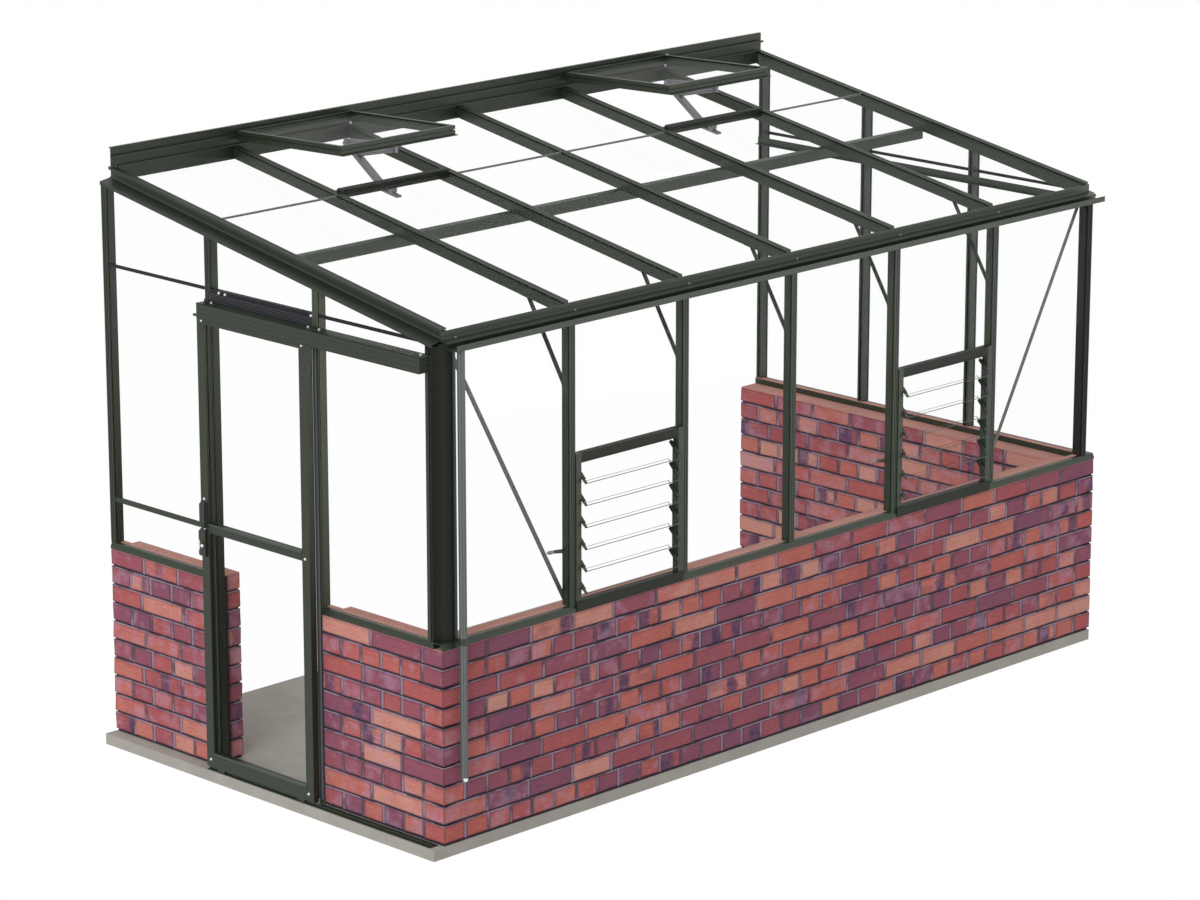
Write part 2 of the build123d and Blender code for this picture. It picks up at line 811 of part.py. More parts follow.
keep(glazing_strips, "glazing_strips")

# Panes of the front, over the louvre windows only where there is one
louvre_top = sill_top + louvre_tall
pane_front = y_frame + glass_out
pane_back = y_frame + glass_in

with BuildPart() as front_glass:
    for k in range(front_bays):
        low = louvre_top if k in vent_bays else sill_top
        block(
            x_grid[k] + glass_edge,
            x_grid[k + 1] - glass_edge,
            pane_front,
            pane_back,
            low + seat_gap,
            beam_bottom - seat_gap,
        )
keep(front_glass, "front_glass")

# Panes of the ends, with their tops cut to the roof
strip_half = strip_wall / 2 + seat_gap
pane_top = under_plane(end_rafter_deep + seat_gap)

with BuildPart() as left_end_glass:
    for k, low, high in (
        (0, sill_top + seat_gap, high_strip_height - strip_half),
        (0, high_strip_height + strip_half, roof_z(y_house)),
        (1, head_top + seat_gap, roof_z(y_house)),
        (2, sill_top + seat_gap, low_strip_height - strip_half),
        (2, low_strip_height + strip_half, high_strip_height - strip_half),
        (2, high_strip_height + strip_half, roof_z(y_house)),
    ):
        block(
            x_frame_left + glass_out,
            x_frame_left + glass_in,
            y_grid[k] + glass_edge,
            y_grid[k + 1] - glass_edge,
            low,
            high,
        )
    split(bisect_by=pane_top, keep=Keep.BOTTOM)
keep(left_end_glass, "left_end_glass")

with BuildPart() as right_end_glass:
    for k in range(end_bays):
        for low, high in (
            (sill_top + seat_gap, high_strip_height - strip_half),
            (high_strip_height + strip_half, roof_z(y_house)),
        ):
            block(
                x_frame_right - glass_in,
                x_frame_right - glass_out,
                y_grid[k] + glass_edge,
                y_grid[k + 1] - glass_edge,
                low,
                high,
            )
    split(bisect_by=pane_top, keep=Keep.BOTTOM)
keep(right_end_glass, "right_end_glass")

# Roof panes: lower ones out over the cornice's neck, upper ones up to the wall plate
pane_foot = up_slope(y_neck - pane_drip)
pane_head = up_slope(y_plate) - glass_in * rise - seat_gap


def pane_span(k):
    """The ends in x of the panes of roof bay k, inside the grooves of the bars beside it."""
    start, stop = x_grid[k] + glass_edge, x_grid[k + 1] - glass_edge
    if k == 0:
        start = x_left + end_rafter_back + seat_gap
    if k == front_bays - 1:
        stop = x_right - end_rafter_back - seat_gap
    return start, stop


roof_panes = [(k, pane_foot, slam_low + slam_wall) for k in vent_bays]
roof_panes += [(k, pane_foot, roof_strip_u - strip_half) for k in plain_roof_bays]
roof_panes += [(k, roof_strip_u + strip_half, pane_head) for k in plain_roof_bays]

with BuildPart() as roof_glass:
    for k, low, high in roof_panes:
        start, stop = pane_span(k)
        with BuildSketch(roof_profile(start)):
            outline((low, -glass_in), (low, -glass_out), (high, -glass_out), (high, -glass_in))
        extrude(amount=stop - start)
keep(roof_glass, "roof_glass")

# Slam bars at the foot of the vent openings: two layers with a groove for the pane below
slam_high = slam_low + slam_deep
slam_groove = slam_low + slam_wall + seat_gap

with BuildPart() as vent_slam_bars:
    for k in vent_bays:
        start, stop = roof_span(k)
        with BuildSketch(roof_profile(start)):
            outline(
                (slam_low, -slam_drop),
                (slam_low, -glass_in - seat_gap),
                (slam_groove, -glass_in - seat_gap),
                (slam_groove, -glass_out + seat_gap),
                (slam_low, -glass_out + seat_gap),
                (slam_low, 0),
                (slam_low + slam_deep / 2, 0),
                (slam_low + slam_deep / 2, slam_shadow),
                (slam_low, slam_shadow),
                (slam_low, slam_rise),
                (slam_low + slam_deep / 2 + slam_wall, slam_rise),
                (slam_low + slam_deep / 2 + slam_wall, 0),
                (slam_high, 0),
                (slam_high, -slam_wall),
                (slam_low + slam_deep / 2, -slam_wall),
                (slam_low + slam_deep / 2, -slam_drop),
            )
        extrude(amount=stop - start)
keep(vent_slam_bars, "vent_slam_bars")

# Roof vents, standing open on the wall plate's hook: grooved bars, with a drip lip on the free rail
vent_near = hinge_y - hook_front + hinge_gap
vent_groove = glass_thick + 2 * seat_gap
vent_glass_low = vent_bar_tall - vent_drop - vent_cover - seat_gap - glass_thick
vent_groove_low = vent_groove_rise - vent_drop


def vent_plane(k):
    """Plane of the vent in bay k: origin in the middle of its hinge, Y back to the house, Z up."""
    lift = radians(vent_lift)
    middle = (x_grid[k] + x_grid[k + 1]) / 2
    return Plane(origin=(middle, hinge_y, hinge_z), x_dir=(1, 0, 0), z_dir=(0, sin(lift), cos(lift)))


vent_mid = -(vent_near + vent_long) / 2
vent_deep = vent_long - vent_near
pane_wide = bay - 2 * (vent_bar_wide - vent_bite)
pane_deep = vent_deep - 2 * (vent_bar_wide - vent_bite)
side_bar_x = (bay - vent_bar_wide) / 2
groove_x = (bay - vent_groove_deep) / 2

with BuildPart() as vent_side_bars:
    for k in vent_bays:
        with BuildSketch(vent_plane(k).offset(-vent_drop)):
            with Locations((-side_bar_x, vent_mid), (side_bar_x, vent_mid)):
                Rectangle(vent_bar_wide, vent_deep - 2 * vent_bar_wide)
        extrude(amount=vent_bar_tall)
        with BuildSketch(vent_plane(k).offset(vent_groove_low)):
            with Locations((-groove_x, vent_mid), (groove_x, vent_mid)):
                Rectangle(vent_groove_deep, vent_deep)
        extrude(amount=vent_groove_tall, mode=Mode.SUBTRACT)
        with BuildSketch(vent_plane(k).offset(vent_glass_low - seat_gap)):
            with Locations((0, vent_mid)):
                Rectangle(pane_wide, pane_deep)
        extrude(amount=vent_groove, mode=Mode.SUBTRACT)
keep(vent_side_bars, "vent_side_bars")

with BuildPart() as vent_rails:
    for k in vent_bays:
        with BuildSketch(vent_plane(k).offset(-vent_drop)):
            with Locations((0, -vent_near - vent_bar_wide / 2), (0, -vent_long + vent_bar_wide / 2)):
                Rectangle(bay, vent_bar_wide)
        extrude(amount=vent_bar_tall)
        with BuildSketch(vent_plane(k).offset(vent_groove_low)):
            with Locations((0, -vent_long + vent_groove_deep / 2)):
                Rectangle(bay, vent_groove_deep)
            with Locations((-groove_x, vent_mid), (groove_x, vent_mid)):
                Rectangle(vent_groove_deep, vent_deep)
        extrude(amount=vent_groove_tall, mode=Mode.SUBTRACT)
        with BuildSketch(vent_plane(k).offset(-vent_drop)):
            with Locations((0, -vent_long - vent_lip / 2)):
                Rectangle(bay, vent_lip)
        extrude(amount=vent_lip_thick)
        with BuildSketch(vent_plane(k).offset(vent_glass_low - seat_gap)):
            with Locations((0, vent_mid)):
                Rectangle(pane_wide, pane_deep)
        extrude(amount=vent_groove, mode=Mode.SUBTRACT)
        with BuildSketch(vent_plane(k).offset(hinge_bead)):
            with Locations((0, -vent_near)):
                Rectangle(hinge_long, vent_near, align=(Align.CENTER, Align.MIN))
        extrude(amount=-hinge_strap)
        with BuildSketch(across((x_grid[k] + x_grid[k + 1] - hinge_long) / 2)):
            with Locations((hinge_y, hinge_z)):
                Circle(hinge_bead)
        extrude(amount=hinge_long)
keep(vent_rails, "vent_rails")

with BuildPart() as vent_glass:
    for k in vent_bays:
        with BuildSketch(vent_plane(k).offset(vent_glass_low)):
            with Locations((0, vent_mid)):
                Rectangle(pane_wide - 2 * seat_gap, pane_deep - 2 * seat_gap)
        extrude(amount=glass_thick)
keep(vent_glass, "vent_glass")

# Vent openers: a foot under the slam bar, a channel arm up to an elbow, a strap from there to the free rail
# and a wax cylinder between the arm and the rail
vent_cos = cos(radians(vent_lift))
vent_sin = sin(radians(vent_lift))


def vent_point(along_vent, above):
    """Point (y, z) at a distance from the hinge along the vent and a height above its plane."""
    return hinge_y - along_vent * vent_cos + above * vent_sin, hinge_z + along_vent * vent_sin + above * vent_cos


def roof_point(u, above):
    """Point (y, z) at a distance up the slope and a height above the rafter caps, square to the roof."""
    return y_foot + u * run_share - above * rise_share, eaves_height + u * rise_share + above * run_share


foot_top = opener_foot_thick - opener_foot_drop
bracket_mid = vent_long - vent_bar_wide - opener_bracket / 2
arm_start = roof_point(slam_low + opener_foot_back - opener_arm_deep / 2, foot_top)
elbow = vent_point(opener_elbow_share * vent_long, -opener_elbow_drop)
strap_end = vent_point(bracket_mid, -vent_drop)
barrel_end = vent_point(bracket_mid, -vent_drop - opener_bracket_drop + opener_barrel)
barrel_start = (
    arm_start[0] + opener_barrel_share * (elbow[0] - arm_start[0]),
    arm_start[1] + opener_barrel_share * (elbow[1] - arm_start[1]),
)


def arm_place(start, stop):
    """Middle, length and angle of an arm between two points."""
    middle = ((start[0] + stop[0]) / 2, (start[1] + stop[1]) / 2)
    turn = degrees(atan2(stop[1] - start[1], stop[0] - start[0]))
    return middle, hypot(stop[0] - start[0], stop[1] - start[1]), turn


def arm_plane(centre, start, turn):
    """Plane square to an arm at its start: its X is +X, its normal points along the arm."""
    return Plane(origin=(centre, *start), x_dir=(1, 0, 0), z_dir=(0, cos(radians(turn)), sin(radians(turn))))


with BuildPart() as vent_openers:
    for k in vent_bays:
        centre = (x_grid[k] + x_grid[k + 1]) / 2
        with BuildSketch(roof_profile(centre - opener_wide / 2)):
            outline(
                (slam_low - opener_foot_ahead, -opener_foot_drop),
                (slam_low - opener_foot_ahead, foot_top),
                (slam_low, foot_top),
                (slam_low, -slam_drop),
                (slam_low + slam_deep / 2, -slam_drop),
                (slam_low + slam_deep / 2, foot_top),
                (slam_low + opener_foot_back, foot_top),
                (slam_low + opener_foot_back, -opener_foot_drop),
            )
        extrude(amount=opener_wide)
        with BuildSketch(vent_plane(k).offset(opener_bracket_rise - vent_drop)):
            with Locations((0, -bracket_mid)):
                Rectangle(opener_bracket_wide, opener_bracket)
        extrude(amount=-opener_bracket_rise - opener_bracket_drop)
        middle, reach, turn = arm_place(arm_start, elbow)
        with BuildSketch(arm_plane(centre, arm_start, turn)):
            Rectangle(opener_wide, opener_arm_deep)
            with Locations((0, opener_wall)):
                Rectangle(opener_wide - 2 * opener_wall, opener_arm_deep, mode=Mode.SUBTRACT)
        extrude(amount=reach)
        middle, reach, turn = arm_place(elbow, strap_end)
        with BuildSketch(across(centre)):
            with Locations(middle):
                SlotCenterToCenter(reach, opener_strap, rotation=turn)
        extrude(amount=opener_thick / 2, both=True)
        middle, reach, turn = arm_place(barrel_start, barrel_end)
        with BuildSketch(arm_plane(centre, barrel_start, turn)):
            Circle(opener_barrel)
        extrude(amount=reach)
keep(vent_openers, "vent_openers")

# Louvre windows
louvre_face = y_frame - louvre_out
louvre_back = louvre_face + louvre_deep
louvre_axis = (louvre_face + louvre_back) / 2
blade_low = sill_top + louvre_rail
blade_pitch = (louvre_tall - 2 * louvre_rail) / blade_count
blade_heights = [blade_low + blade_pitch * (n + 1 / 2) for n in range(blade_count)]


def louvre_span(k):
    """The ends in x of the louvre frame in bay k."""
    return x_grid[k] + cap_edge, x_grid[k + 1] - cap_edge


with BuildPart() as louvre_stiles:
    for k in vent_bays:
        start, stop = louvre_span(k)
        block(start, start + louvre_stile, louvre_face, louvre_back, sill_top, louvre_top)
        block(stop - louvre_stile, stop, louvre_face, louvre_back, sill_top, louvre_top)
keep(louvre_stiles, "louvre_stiles")

with BuildPart() as louvre_rails:
    for k in vent_bays:
        start, stop = louvre_span(k)
        for low in (sill_top, louvre_top - louvre_rail):
            block(start + louvre_stile, stop - louvre_stile, louvre_face, louvre_back, low, low + louvre_rail)
keep(louvre_rails, "louvre_rails")

clip_inset = louvre_stile + seat_gap
blade_inset = clip_inset + clip_web + seat_gap

with BuildPart() as louvre_blades:
    for k in vent_bays:
        start, stop = louvre_span(k)
        for z in blade_heights:
            with Locations(Location(((start + stop) / 2, louvre_axis, z), (blade_tilt, 0, 0))):
                Box(stop - start - 2 * blade_inset, blade_wide, blade_thick)
keep(louvre_blades, "louvre_blades")

with BuildPart() as louvre_carriers:
    for k in vent_bays:
        start, stop = louvre_span(k)
        for z in blade_heights:
            for x in (start + clip_inset + clip_long / 2, stop - clip_inset - clip_long / 2):
                with Locations(Location((x, louvre_axis, z), (blade_tilt, 0, 0))):
                    Box(clip_long, blade_wide * clip_share, clip_tall)
        for z in blade_heights:
            with Locations(Location(((start + stop) / 2, louvre_axis, z), (blade_tilt, 0, 0))):
                Box(
                    stop - start - 2 * (clip_inset + clip_web),
                    blade_wide,
                    blade_thick + 2 * seat_gap,
                    mode=Mode.SUBTRACT,
                )
        block(
            stop - louvre_stile,
            stop - louvre_stile + link_wide,
            louvre_back,
            louvre_back + link_thick,
            blade_heights[0],
            blade_heights[-1],
        )
keep(louvre_carriers, "louvre_carriers")

with BuildPart() as louvre_levers:
    for k in vent_bays:
        start, stop = louvre_span(k)
        z = sill_top + lever_height
        block(start, start + louvre_stile, louvre_back, louvre_back + lever_thick, z, z + lever_boss)
        block(
            start,
            start + lever_thick,
            louvre_back + lever_thick,
            louvre_back + lever_thick + lever_long,
            z,
            z + lever_thick,
        )
keep(louvre_levers, "louvre_levers")

# Door tracks
door_front = y_grid[1] + cap_wide / 2 - door_overlap
door_rear = y_grid[2] - cap_wide / 2 + door_overlap
leaf_out = x_left - door_face
leaf_in = leaf_out + door_thick
track_start = y_front + track_front_inset
skin_out = leaf_out - track_gap - track_wall

with BuildPart() as door_top_track:
    with BuildSketch(along(track_start)):
        outline(
            (-x_frame_left, track_bottom),
            (-x_frame_left, track_top),
            (-skin_out, track_top),
            (-skin_out, track_bottom),
            (-skin_out - track_wall, track_bottom),
            (-skin_out - track_wall, track_top - track_wall),
            (-x_frame_left + track_wall, track_top - track_wall),
            (-x_frame_left + track_wall, ledge_top),
            (-x_frame_left + track_wall + track_ledge, ledge_top),
            (-x_frame_left + track_wall + track_ledge, ledge_top - track_wall),
            (-x_frame_left + track_wall, ledge_top - track_wall),
            (-x_frame_left + track_wall, track_bottom),
        )
    extrude(amount=door_rear - track_rear_inset - track_start)
keep(door_top_track, "door_top_track")

rib_x = (leaf_out + leaf_in) / 2
sill_track_x = x_left - sill_track_off
sill_track_start = y_front + sill_track_front

with BuildPart() as door_bottom_track:
    block(
        sill_track_x - sill_track_wide,
        sill_track_x,
        sill_track_start,
        door_rear,
        slab_thick,
        slab_thick + sill_track_thick,
    )
    block(
        rib_x - rib_thick / 2,
        rib_x + rib_thick / 2,
        sill_track_start,
        door_rear,
        slab_thick + sill_track_thick,
        slab_thick + rib_tall,
    )
keep(door_bottom_track, "door_bottom_track")

# Door leaf: bars with grooves that hold its two panes
door_bottom = slab_thick + door_clear
door_top = track_bottom + door_lap
rail_front = door_front + stile_wide
rail_rear = door_rear - stile_wide
rail_bands = (
    (door_bottom, door_bottom + bottom_rail_tall),
    (mid_rail_height - mid_rail_tall / 2, mid_rail_height + mid_rail_tall / 2),
    (door_top - top_rail_tall, door_top),
)
pane_bands = ((rail_bands[0][1], rail_bands[1][0]), (rail_bands[1][1], rail_bands[2][0]))


def door_panes(gap, mode):
    """Add or cut the two panes, smaller by a gap all round than the grooves that take them."""
    half = glass_thick / 2 + seat_gap - gap
    bite = door_bite - gap
    for low, high in pane_bands:
        block(rib_x - half, rib_x + half, rail_front - bite, rail_rear + bite, low - bite, high + bite, mode=mode)


with BuildPart() as door_stiles:
    for start, stop in ((door_front, door_front + stile_wide), (door_rear - stile_wide, door_rear)):
        block(leaf_out, leaf_in, start, stop, door_bottom, door_top)
    door_panes(0, Mode.SUBTRACT)
keep(door_stiles, "door_stiles")

with BuildPart() as door_rails:
    for low, high in rail_bands:
        block(leaf_out, leaf_in, rail_front, rail_rear, low, high)
    door_panes(0, Mode.SUBTRACT)
keep(door_rails, "door_rails")

with BuildPart() as door_glass:
    door_panes(seat_gap, Mode.ADD)
keep(door_glass, "door_glass")

# Rollers: a hanger plate on the top rail, an axle and a wheel on the track's ledge
roller_x = x_left - roller_place
hanger_x = (leaf_out + leaf_in) / 2

with BuildPart() as door_rollers:
    for y in (door_front + roller_inset, door_rear - roller_inset):
        block(
            hanger_x - hanger_thick / 2,
            hanger_x + hanger_thick / 2,
            y - hanger_wide / 2,
            y + hanger_wide / 2,
            door_top,
            axle_z + roller_radius,
        )
        with BuildSketch(Plane(origin=(hanger_x, y, axle_z), x_dir=(0, 1, 0), z_dir=(1, 0, 0))):
            Circle(axle_radius)
        extrude(amount=roller_x - hanger_x)
        with BuildSketch(Plane(origin=(roller_x, y, axle_z), x_dir=(0, 1, 0), z_dir=(1, 0, 0))):
            Circle(roller_radius)
        extrude(amount=roller_wide / 2, both=True)
    for y in (door_front + roller_inset, door_rear - roller_inset):
        low = slab_thick + sill_track_thick + running_gap
        block(
            rib_x - guide_wide / 2,
            rib_x + guide_wide / 2,
            y - guide_long / 2,
            y + guide_long / 2,
            low,
            door_bottom,
        )
        block(
            rib_x - rib_thick / 2 - guide_gap,
            rib_x + rib_thick / 2 + guide_gap,
            y - guide_long / 2,
            y + guide_long / 2,
            low,
            slab_thick + rib_tall + guide_gap,
            mode=Mode.SUBTRACT,
        )
keep(door_rollers, "door_rollers")

# Handle plate and latch on the rear stile
handle_low = mid_rail_height
latch_high = handle_low - lock_gap
latch_low = latch_high - latch_tall

with BuildPart() as door_lock:
    block(
        leaf_out - handle_thick,
        leaf_out,
        door_rear - handle_wide,
        door_rear,
        handle_low,
        handle_low + handle_tall,
    )
    block(
        leaf_out - handle_grip,
        leaf_out - handle_thick,
        door_rear - handle_wide,
        door_rear - handle_wide + handle_thick,
        handle_low,
        handle_low + handle_tall,
    )
    block(leaf_out - latch_thick, leaf_out, door_rear - latch_wide, door_rear, latch_low, latch_high)
    lock_place = (leaf_out - latch_thick, door_rear - latch_wide / 2, (latch_low + latch_high) / 2)
    with BuildSketch(Plane(origin=lock_place, x_dir=(0, 1, 0), z_dir=(-1, 0, 0))):
        Circle(lock_radius)
    extrude(amount=lock_out)
keep(door_lock, "door_lock")

# Downpipe and its clip
pipe_x = x_left + pipe_place
pipe_y = y_front - pipe_out
pipe_tall = gutter_bottom - pipe_bottom
slant = Plane(
    origin=(pipe_x, pipe_y, pipe_bottom + pipe_radius),
    x_dir=(1, 0, 0),
    z_dir=(0, -sin(radians(pipe_cut)), cos(radians(pipe_cut))),
)

with BuildPart() as downpipe:
    with BuildSketch(Plane(origin=(pipe_x, pipe_y, pipe_bottom))):
        Circle(pipe_radius)
        Circle(pipe_radius - pipe_wall, mode=Mode.SUBTRACT)
    extrude(amount=pipe_tall)
    split(bisect_by=slant, keep=Keep.TOP)
keep(downpipe, "downpipe")

band_z = wall_top + sill_nose - band_drop
band_inner = pipe_radius + band_gap
band_outer = band_inner + band_wall

with BuildPart() as downpipe_clip:
    with BuildSketch(Plane(origin=(pipe_x, pipe_y, band_z - band_tall / 2))):
        Circle(band_outer)
        with Locations((0, band_outer)):
            Rectangle(band_stem, 2 * (pipe_out - band_outer))
        Circle(band_inner, mode=Mode.SUBTRACT)
    extrude(amount=band_tall)
keep(downpipe_clip, "downpipe_clip")
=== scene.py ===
"""Looks of the lean-to greenhouse: bricks, paint, glass, seals, fixings, the stage and the camera.

Everything is in metres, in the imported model's frame: +X along the front, +Y to the house wall, +Z up.
"""
import json
from math import pi, radians

import bpy
import numpy as np
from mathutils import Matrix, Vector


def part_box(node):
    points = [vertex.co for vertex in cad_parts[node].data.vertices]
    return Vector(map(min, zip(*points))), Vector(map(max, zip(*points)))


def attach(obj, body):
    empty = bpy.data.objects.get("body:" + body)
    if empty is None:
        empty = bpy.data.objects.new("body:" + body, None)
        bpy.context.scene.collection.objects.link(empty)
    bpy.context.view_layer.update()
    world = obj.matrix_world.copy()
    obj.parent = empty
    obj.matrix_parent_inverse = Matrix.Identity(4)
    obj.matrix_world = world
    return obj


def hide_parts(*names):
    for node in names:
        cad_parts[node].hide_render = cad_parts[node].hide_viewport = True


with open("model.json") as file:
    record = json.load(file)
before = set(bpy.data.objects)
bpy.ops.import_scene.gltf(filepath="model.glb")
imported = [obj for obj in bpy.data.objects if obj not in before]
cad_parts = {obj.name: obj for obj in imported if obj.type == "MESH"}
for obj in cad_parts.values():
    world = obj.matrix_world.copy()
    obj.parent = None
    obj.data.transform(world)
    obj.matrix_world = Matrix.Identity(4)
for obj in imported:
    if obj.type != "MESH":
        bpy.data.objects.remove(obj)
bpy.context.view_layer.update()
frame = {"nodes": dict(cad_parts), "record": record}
nodes = frame["nodes"]

HOUSE = "house"
DOOR = "door"
LEFT = (-1.0, 0.0, 0.0)
FRONT = (0.0, -1.0, 0.0)
REAR = (0.0, 1.0, 0.0)
RIGHT = (1.0, 0.0, 0.0)
UP = (0.0, 0.0, 1.0)


# Shader maths
class Signal:
    """A value in a finish; arithmetic on it adds Math nodes."""

    def __init__(self, finish, socket):
        self.finish = finish
        self.socket = socket

    def math(self, operation, first, second):
        """One Math node on two values."""
        return self.finish.node("ShaderNodeMath", {"operation": operation}, {0: first, 1: second})

    def __add__(self, other):
        return self.math("ADD", self, other)

    def __radd__(self, other):
        return self.math("ADD", other, self)

    def __sub__(self, other):
        return self.math("SUBTRACT", self, other)

    def __rsub__(self, other):
        return self.math("SUBTRACT", other, self)

    def __mul__(self, other):
        return self.math("MULTIPLY", self, other)

    def __rmul__(self, other):
        return self.math("MULTIPLY", other, self)

    def size(self):
        """The value without its sign."""
        return self.math("ABSOLUTE", self, 0.0)

    def least(self, other):
        """The smaller of two values."""
        return self.math("MINIMUM", self, other)

    def limits(self, low, high):
        """Smooth step: 0 below low, 1 above high."""
        sockets = {"Value": self, "From Min": low, "From Max": high}
        return self.finish.node("ShaderNodeMapRange", {"interpolation_type": "SMOOTHSTEP"}, sockets)


class Finish:
    """A material, or the world, under construction."""

    def __init__(self, name, owner=None):
        self.material = bpy.data.materials.new(name) if owner is None else owner
        self.material.use_nodes = True
        self.tree = self.material.node_tree
        self.tree.nodes.clear()

    def node(self, kind, settings=None, sockets=None, out=0):
        """Add a node: settings first, a ramp's stops among them, then socket values or links."""
        made = self.tree.nodes.new(kind)
        for key, value in (settings or {}).items():
            if key == "stops":
                ramp = made.color_ramp
                while len(ramp.elements) < len(value):
                    ramp.elements.new(1.0)
                for element, (place, colour) in zip(ramp.elements, value):
                    element.position = place
                    element.color = colour
            else:
                setattr(made, key, value)
        for key, value in (sockets or {}).items():
            if isinstance(value, Signal):
                self.tree.links.new(value.socket, made.inputs[key])
            else:
                made.inputs[key].default_value = value
        return Signal(self, made.outputs[out] if made.outputs else None)

    def place(self, stretch=(1.0, 1.0, 1.0)):
        """Object coordinates, stretched by a factor along each axis."""
        spot = self.node("ShaderNodeTexCoord", out="Object")
        return self.node("ShaderNodeMapping", {}, {"Vector": spot, "Scale": stretch})

    def noise(self, scale, detail=3.0, stretch=(1.0, 1.0, 1.0)):
        """Fractal noise from 0 to 1, with scale waves to the metre."""
        sockets = {"Vector": self.place(stretch), "Scale": scale, "Detail": detail}
        return self.node("ShaderNodeTexNoise", {}, sockets)

    def channels(self, name):
        """The four channels of a colour attribute."""
        colour = self.node("ShaderNodeAttribute", {"attribute_name": name})
        parts = self.node("ShaderNodeSeparateColor", {}, {"Color": colour})
        sockets = [*parts.socket.node.outputs, colour.socket.node.outputs["Alpha"]]
        return [Signal(self, socket) for socket in sockets]

    def blend(self, first, second, share):
        """Colour between two colours."""
        return self.node("ShaderNodeMix", {"data_type": "RGBA"}, {0: share, 6: first, 7: second}, out=2)

    def bump(self, height, depth):
        """Normal from a height; depth in metres."""
        return self.node("ShaderNodeBump", {}, {"Height": height, "Distance": depth, "Strength": 1.0})

    def surface(self, **sockets):
        """Close the material with a Principled shader."""
        named = {}
        for key, value in sockets.items():
            named[key.replace("_", " ").title().replace("Ior", "IOR")] = value
        return self.close(self.node("ShaderNodeBsdfPrincipled", {}, named))

    def close(self, shader):
        """Link a shader to the material's output."""
        self.node("ShaderNodeOutputMaterial", {}, {"Surface": shader})
        return self.material


def rgba(red, green, blue):
    """Linear colour from screen values of 0 to 255."""
    share = np.array([red, green, blue]) / 255.0
    linear = np.where(share <= 0.04045, share / 12.92, ((share + 0.055) / 1.055) ** 2.4)
    return (*(float(value) for value in linear), 1.0)


# Finishes
def painted(name, dark, light, gloss=0.40, sheen=0.45):
    """Powder-coated aluminium: a slow drift of colour, fine speckle and orange peel."""
    coat = Finish(name)
    drift = coat.noise(1.7)
    speckle = coat.noise(420.0, 2.0)
    shade = coat.blend(dark, light, 0.55 * drift + 0.45 * speckle)
    rough = gloss + 0.10 * coat.noise(9.0) - 0.06 * speckle
    bump = coat.bump(speckle, 0.00006)
    tint = (0.95, 1.0, 0.90, 1.0)
    return coat.surface(
        base_color=shade, roughness=rough, normal=bump, specular_ior_level=sheen, specular_tint=tint
    )


def moulded(name, dark, light, gloss=0.5):
    """Rubber or plastic: fine mottling and a soft grain."""
    body = Finish(name)
    grain = body.noise(260.0, 4.0)
    cloud = body.noise(6.0)
    shade = body.blend(dark, light, 0.5 * grain + 0.5 * cloud)
    return body.surface(base_color=shade, roughness=gloss + 0.12 * grain, normal=body.bump(grain, 0.00005))


def plated(name, colour, gloss):
    """Zinc-plated or drawn metal with fine scratches."""
    metal = Finish(name)
    scratch = metal.noise(700.0, 2.0, (1.0, 0.1, 1.0))
    shade = metal.blend(colour, rgba(235, 235, 238), 0.35 * scratch)
    return metal.surface(base_color=shade, metallic=0.6, roughness=gloss + 0.15 * scratch)


def fired_clay():
    """Facing bricks: on each its own firing colour, drag marks, a burnt band, a grey bloom that on the end
    walls also carries a painted tint of the light, and a darker rim that is partly wear and partly painted
    shade.
    """
    clay = Finish("brick_faces")
    tone, burn, bloom, centre = clay.channels("firing")
    along, up, half_long, half_tall = clay.channels("place")
    stops = (
        (0.00, rgba(126, 80, 102)),
        (0.20, rgba(146, 84, 98)),
        (0.38, rgba(164, 88, 92)),
        (0.58, rgba(179, 97, 91)),
        (0.80, rgba(190, 114, 102)),
        (1.00, rgba(202, 142, 128)),
    )
    cloud = clay.noise(11.0, 4.0)
    grain = clay.noise(170.0, 5.0)
    drag = clay.noise(46.0, 4.0, (0.4, 0.4, 2.6))
    patch = clay.noise(15.0, 5.0, (1.0, 1.0, 1.6))
    shift = tone + 0.30 * (cloud - 0.5) + 0.22 * (drag - 0.5)
    shade = clay.node("ShaderNodeValToRGB", {"stops": stops}, {"Fac": shift})
    off_centre = (along - half_long * (2.0 * centre - 1.0)).size()
    band = 1.0 - (off_centre + 0.09 * (patch - 0.5)).limits(0.008, 0.042)
    mottle = (patch + 0.5 * burn - 0.5).limits(0.32, 0.44)
    burnt = burn.limits(0.42, 0.62) * (0.8 * band + 0.35 * mottle).limits(0.05, 0.85)
    dark = clay.blend(rgba(108, 74, 100), rgba(70, 62, 92), clay.noise(30.0, 4.0).limits(0.42, 0.62))
    shade = clay.blend(shade, dark, 0.9 * burnt)
    # The grey bloom; on the end walls it is raised as a painted tint of the light from the left.
    haze = (clay.noise(19.0, 4.0) + 0.5 * bloom - 0.5).limits(0.34, 0.6)
    shade = clay.blend(shade, rgba(180, 146, 170), 0.38 * haze)
    shade = clay.blend(shade, rgba(206, 150, 142), 0.30 * tone * drag.limits(0.54, 0.74))
    shade = clay.blend(shade, rgba(96, 52, 58), 0.42 * grain.limits(0.52, 0.70))
    room = (half_long - along.size()).least(half_tall - up.size())
    # Darker rim round each brick: partly wear, partly painted shade where the joints recess.
    rim_wear_and_shade = 1.0 - (room + 0.010 * (grain - 0.5)).limits(0.0005, 0.0065)
    shade = clay.blend(shade, rgba(78, 52, 64), 0.5 * rim_wear_and_shade)
    rough = 0.74 + 0.2 * grain
    normal = clay.bump(0.6 * grain + 0.4 * drag, 0.0016)
    return clay.surface(base_color=shade, roughness=rough, normal=normal, specular_ior_level=0.12)


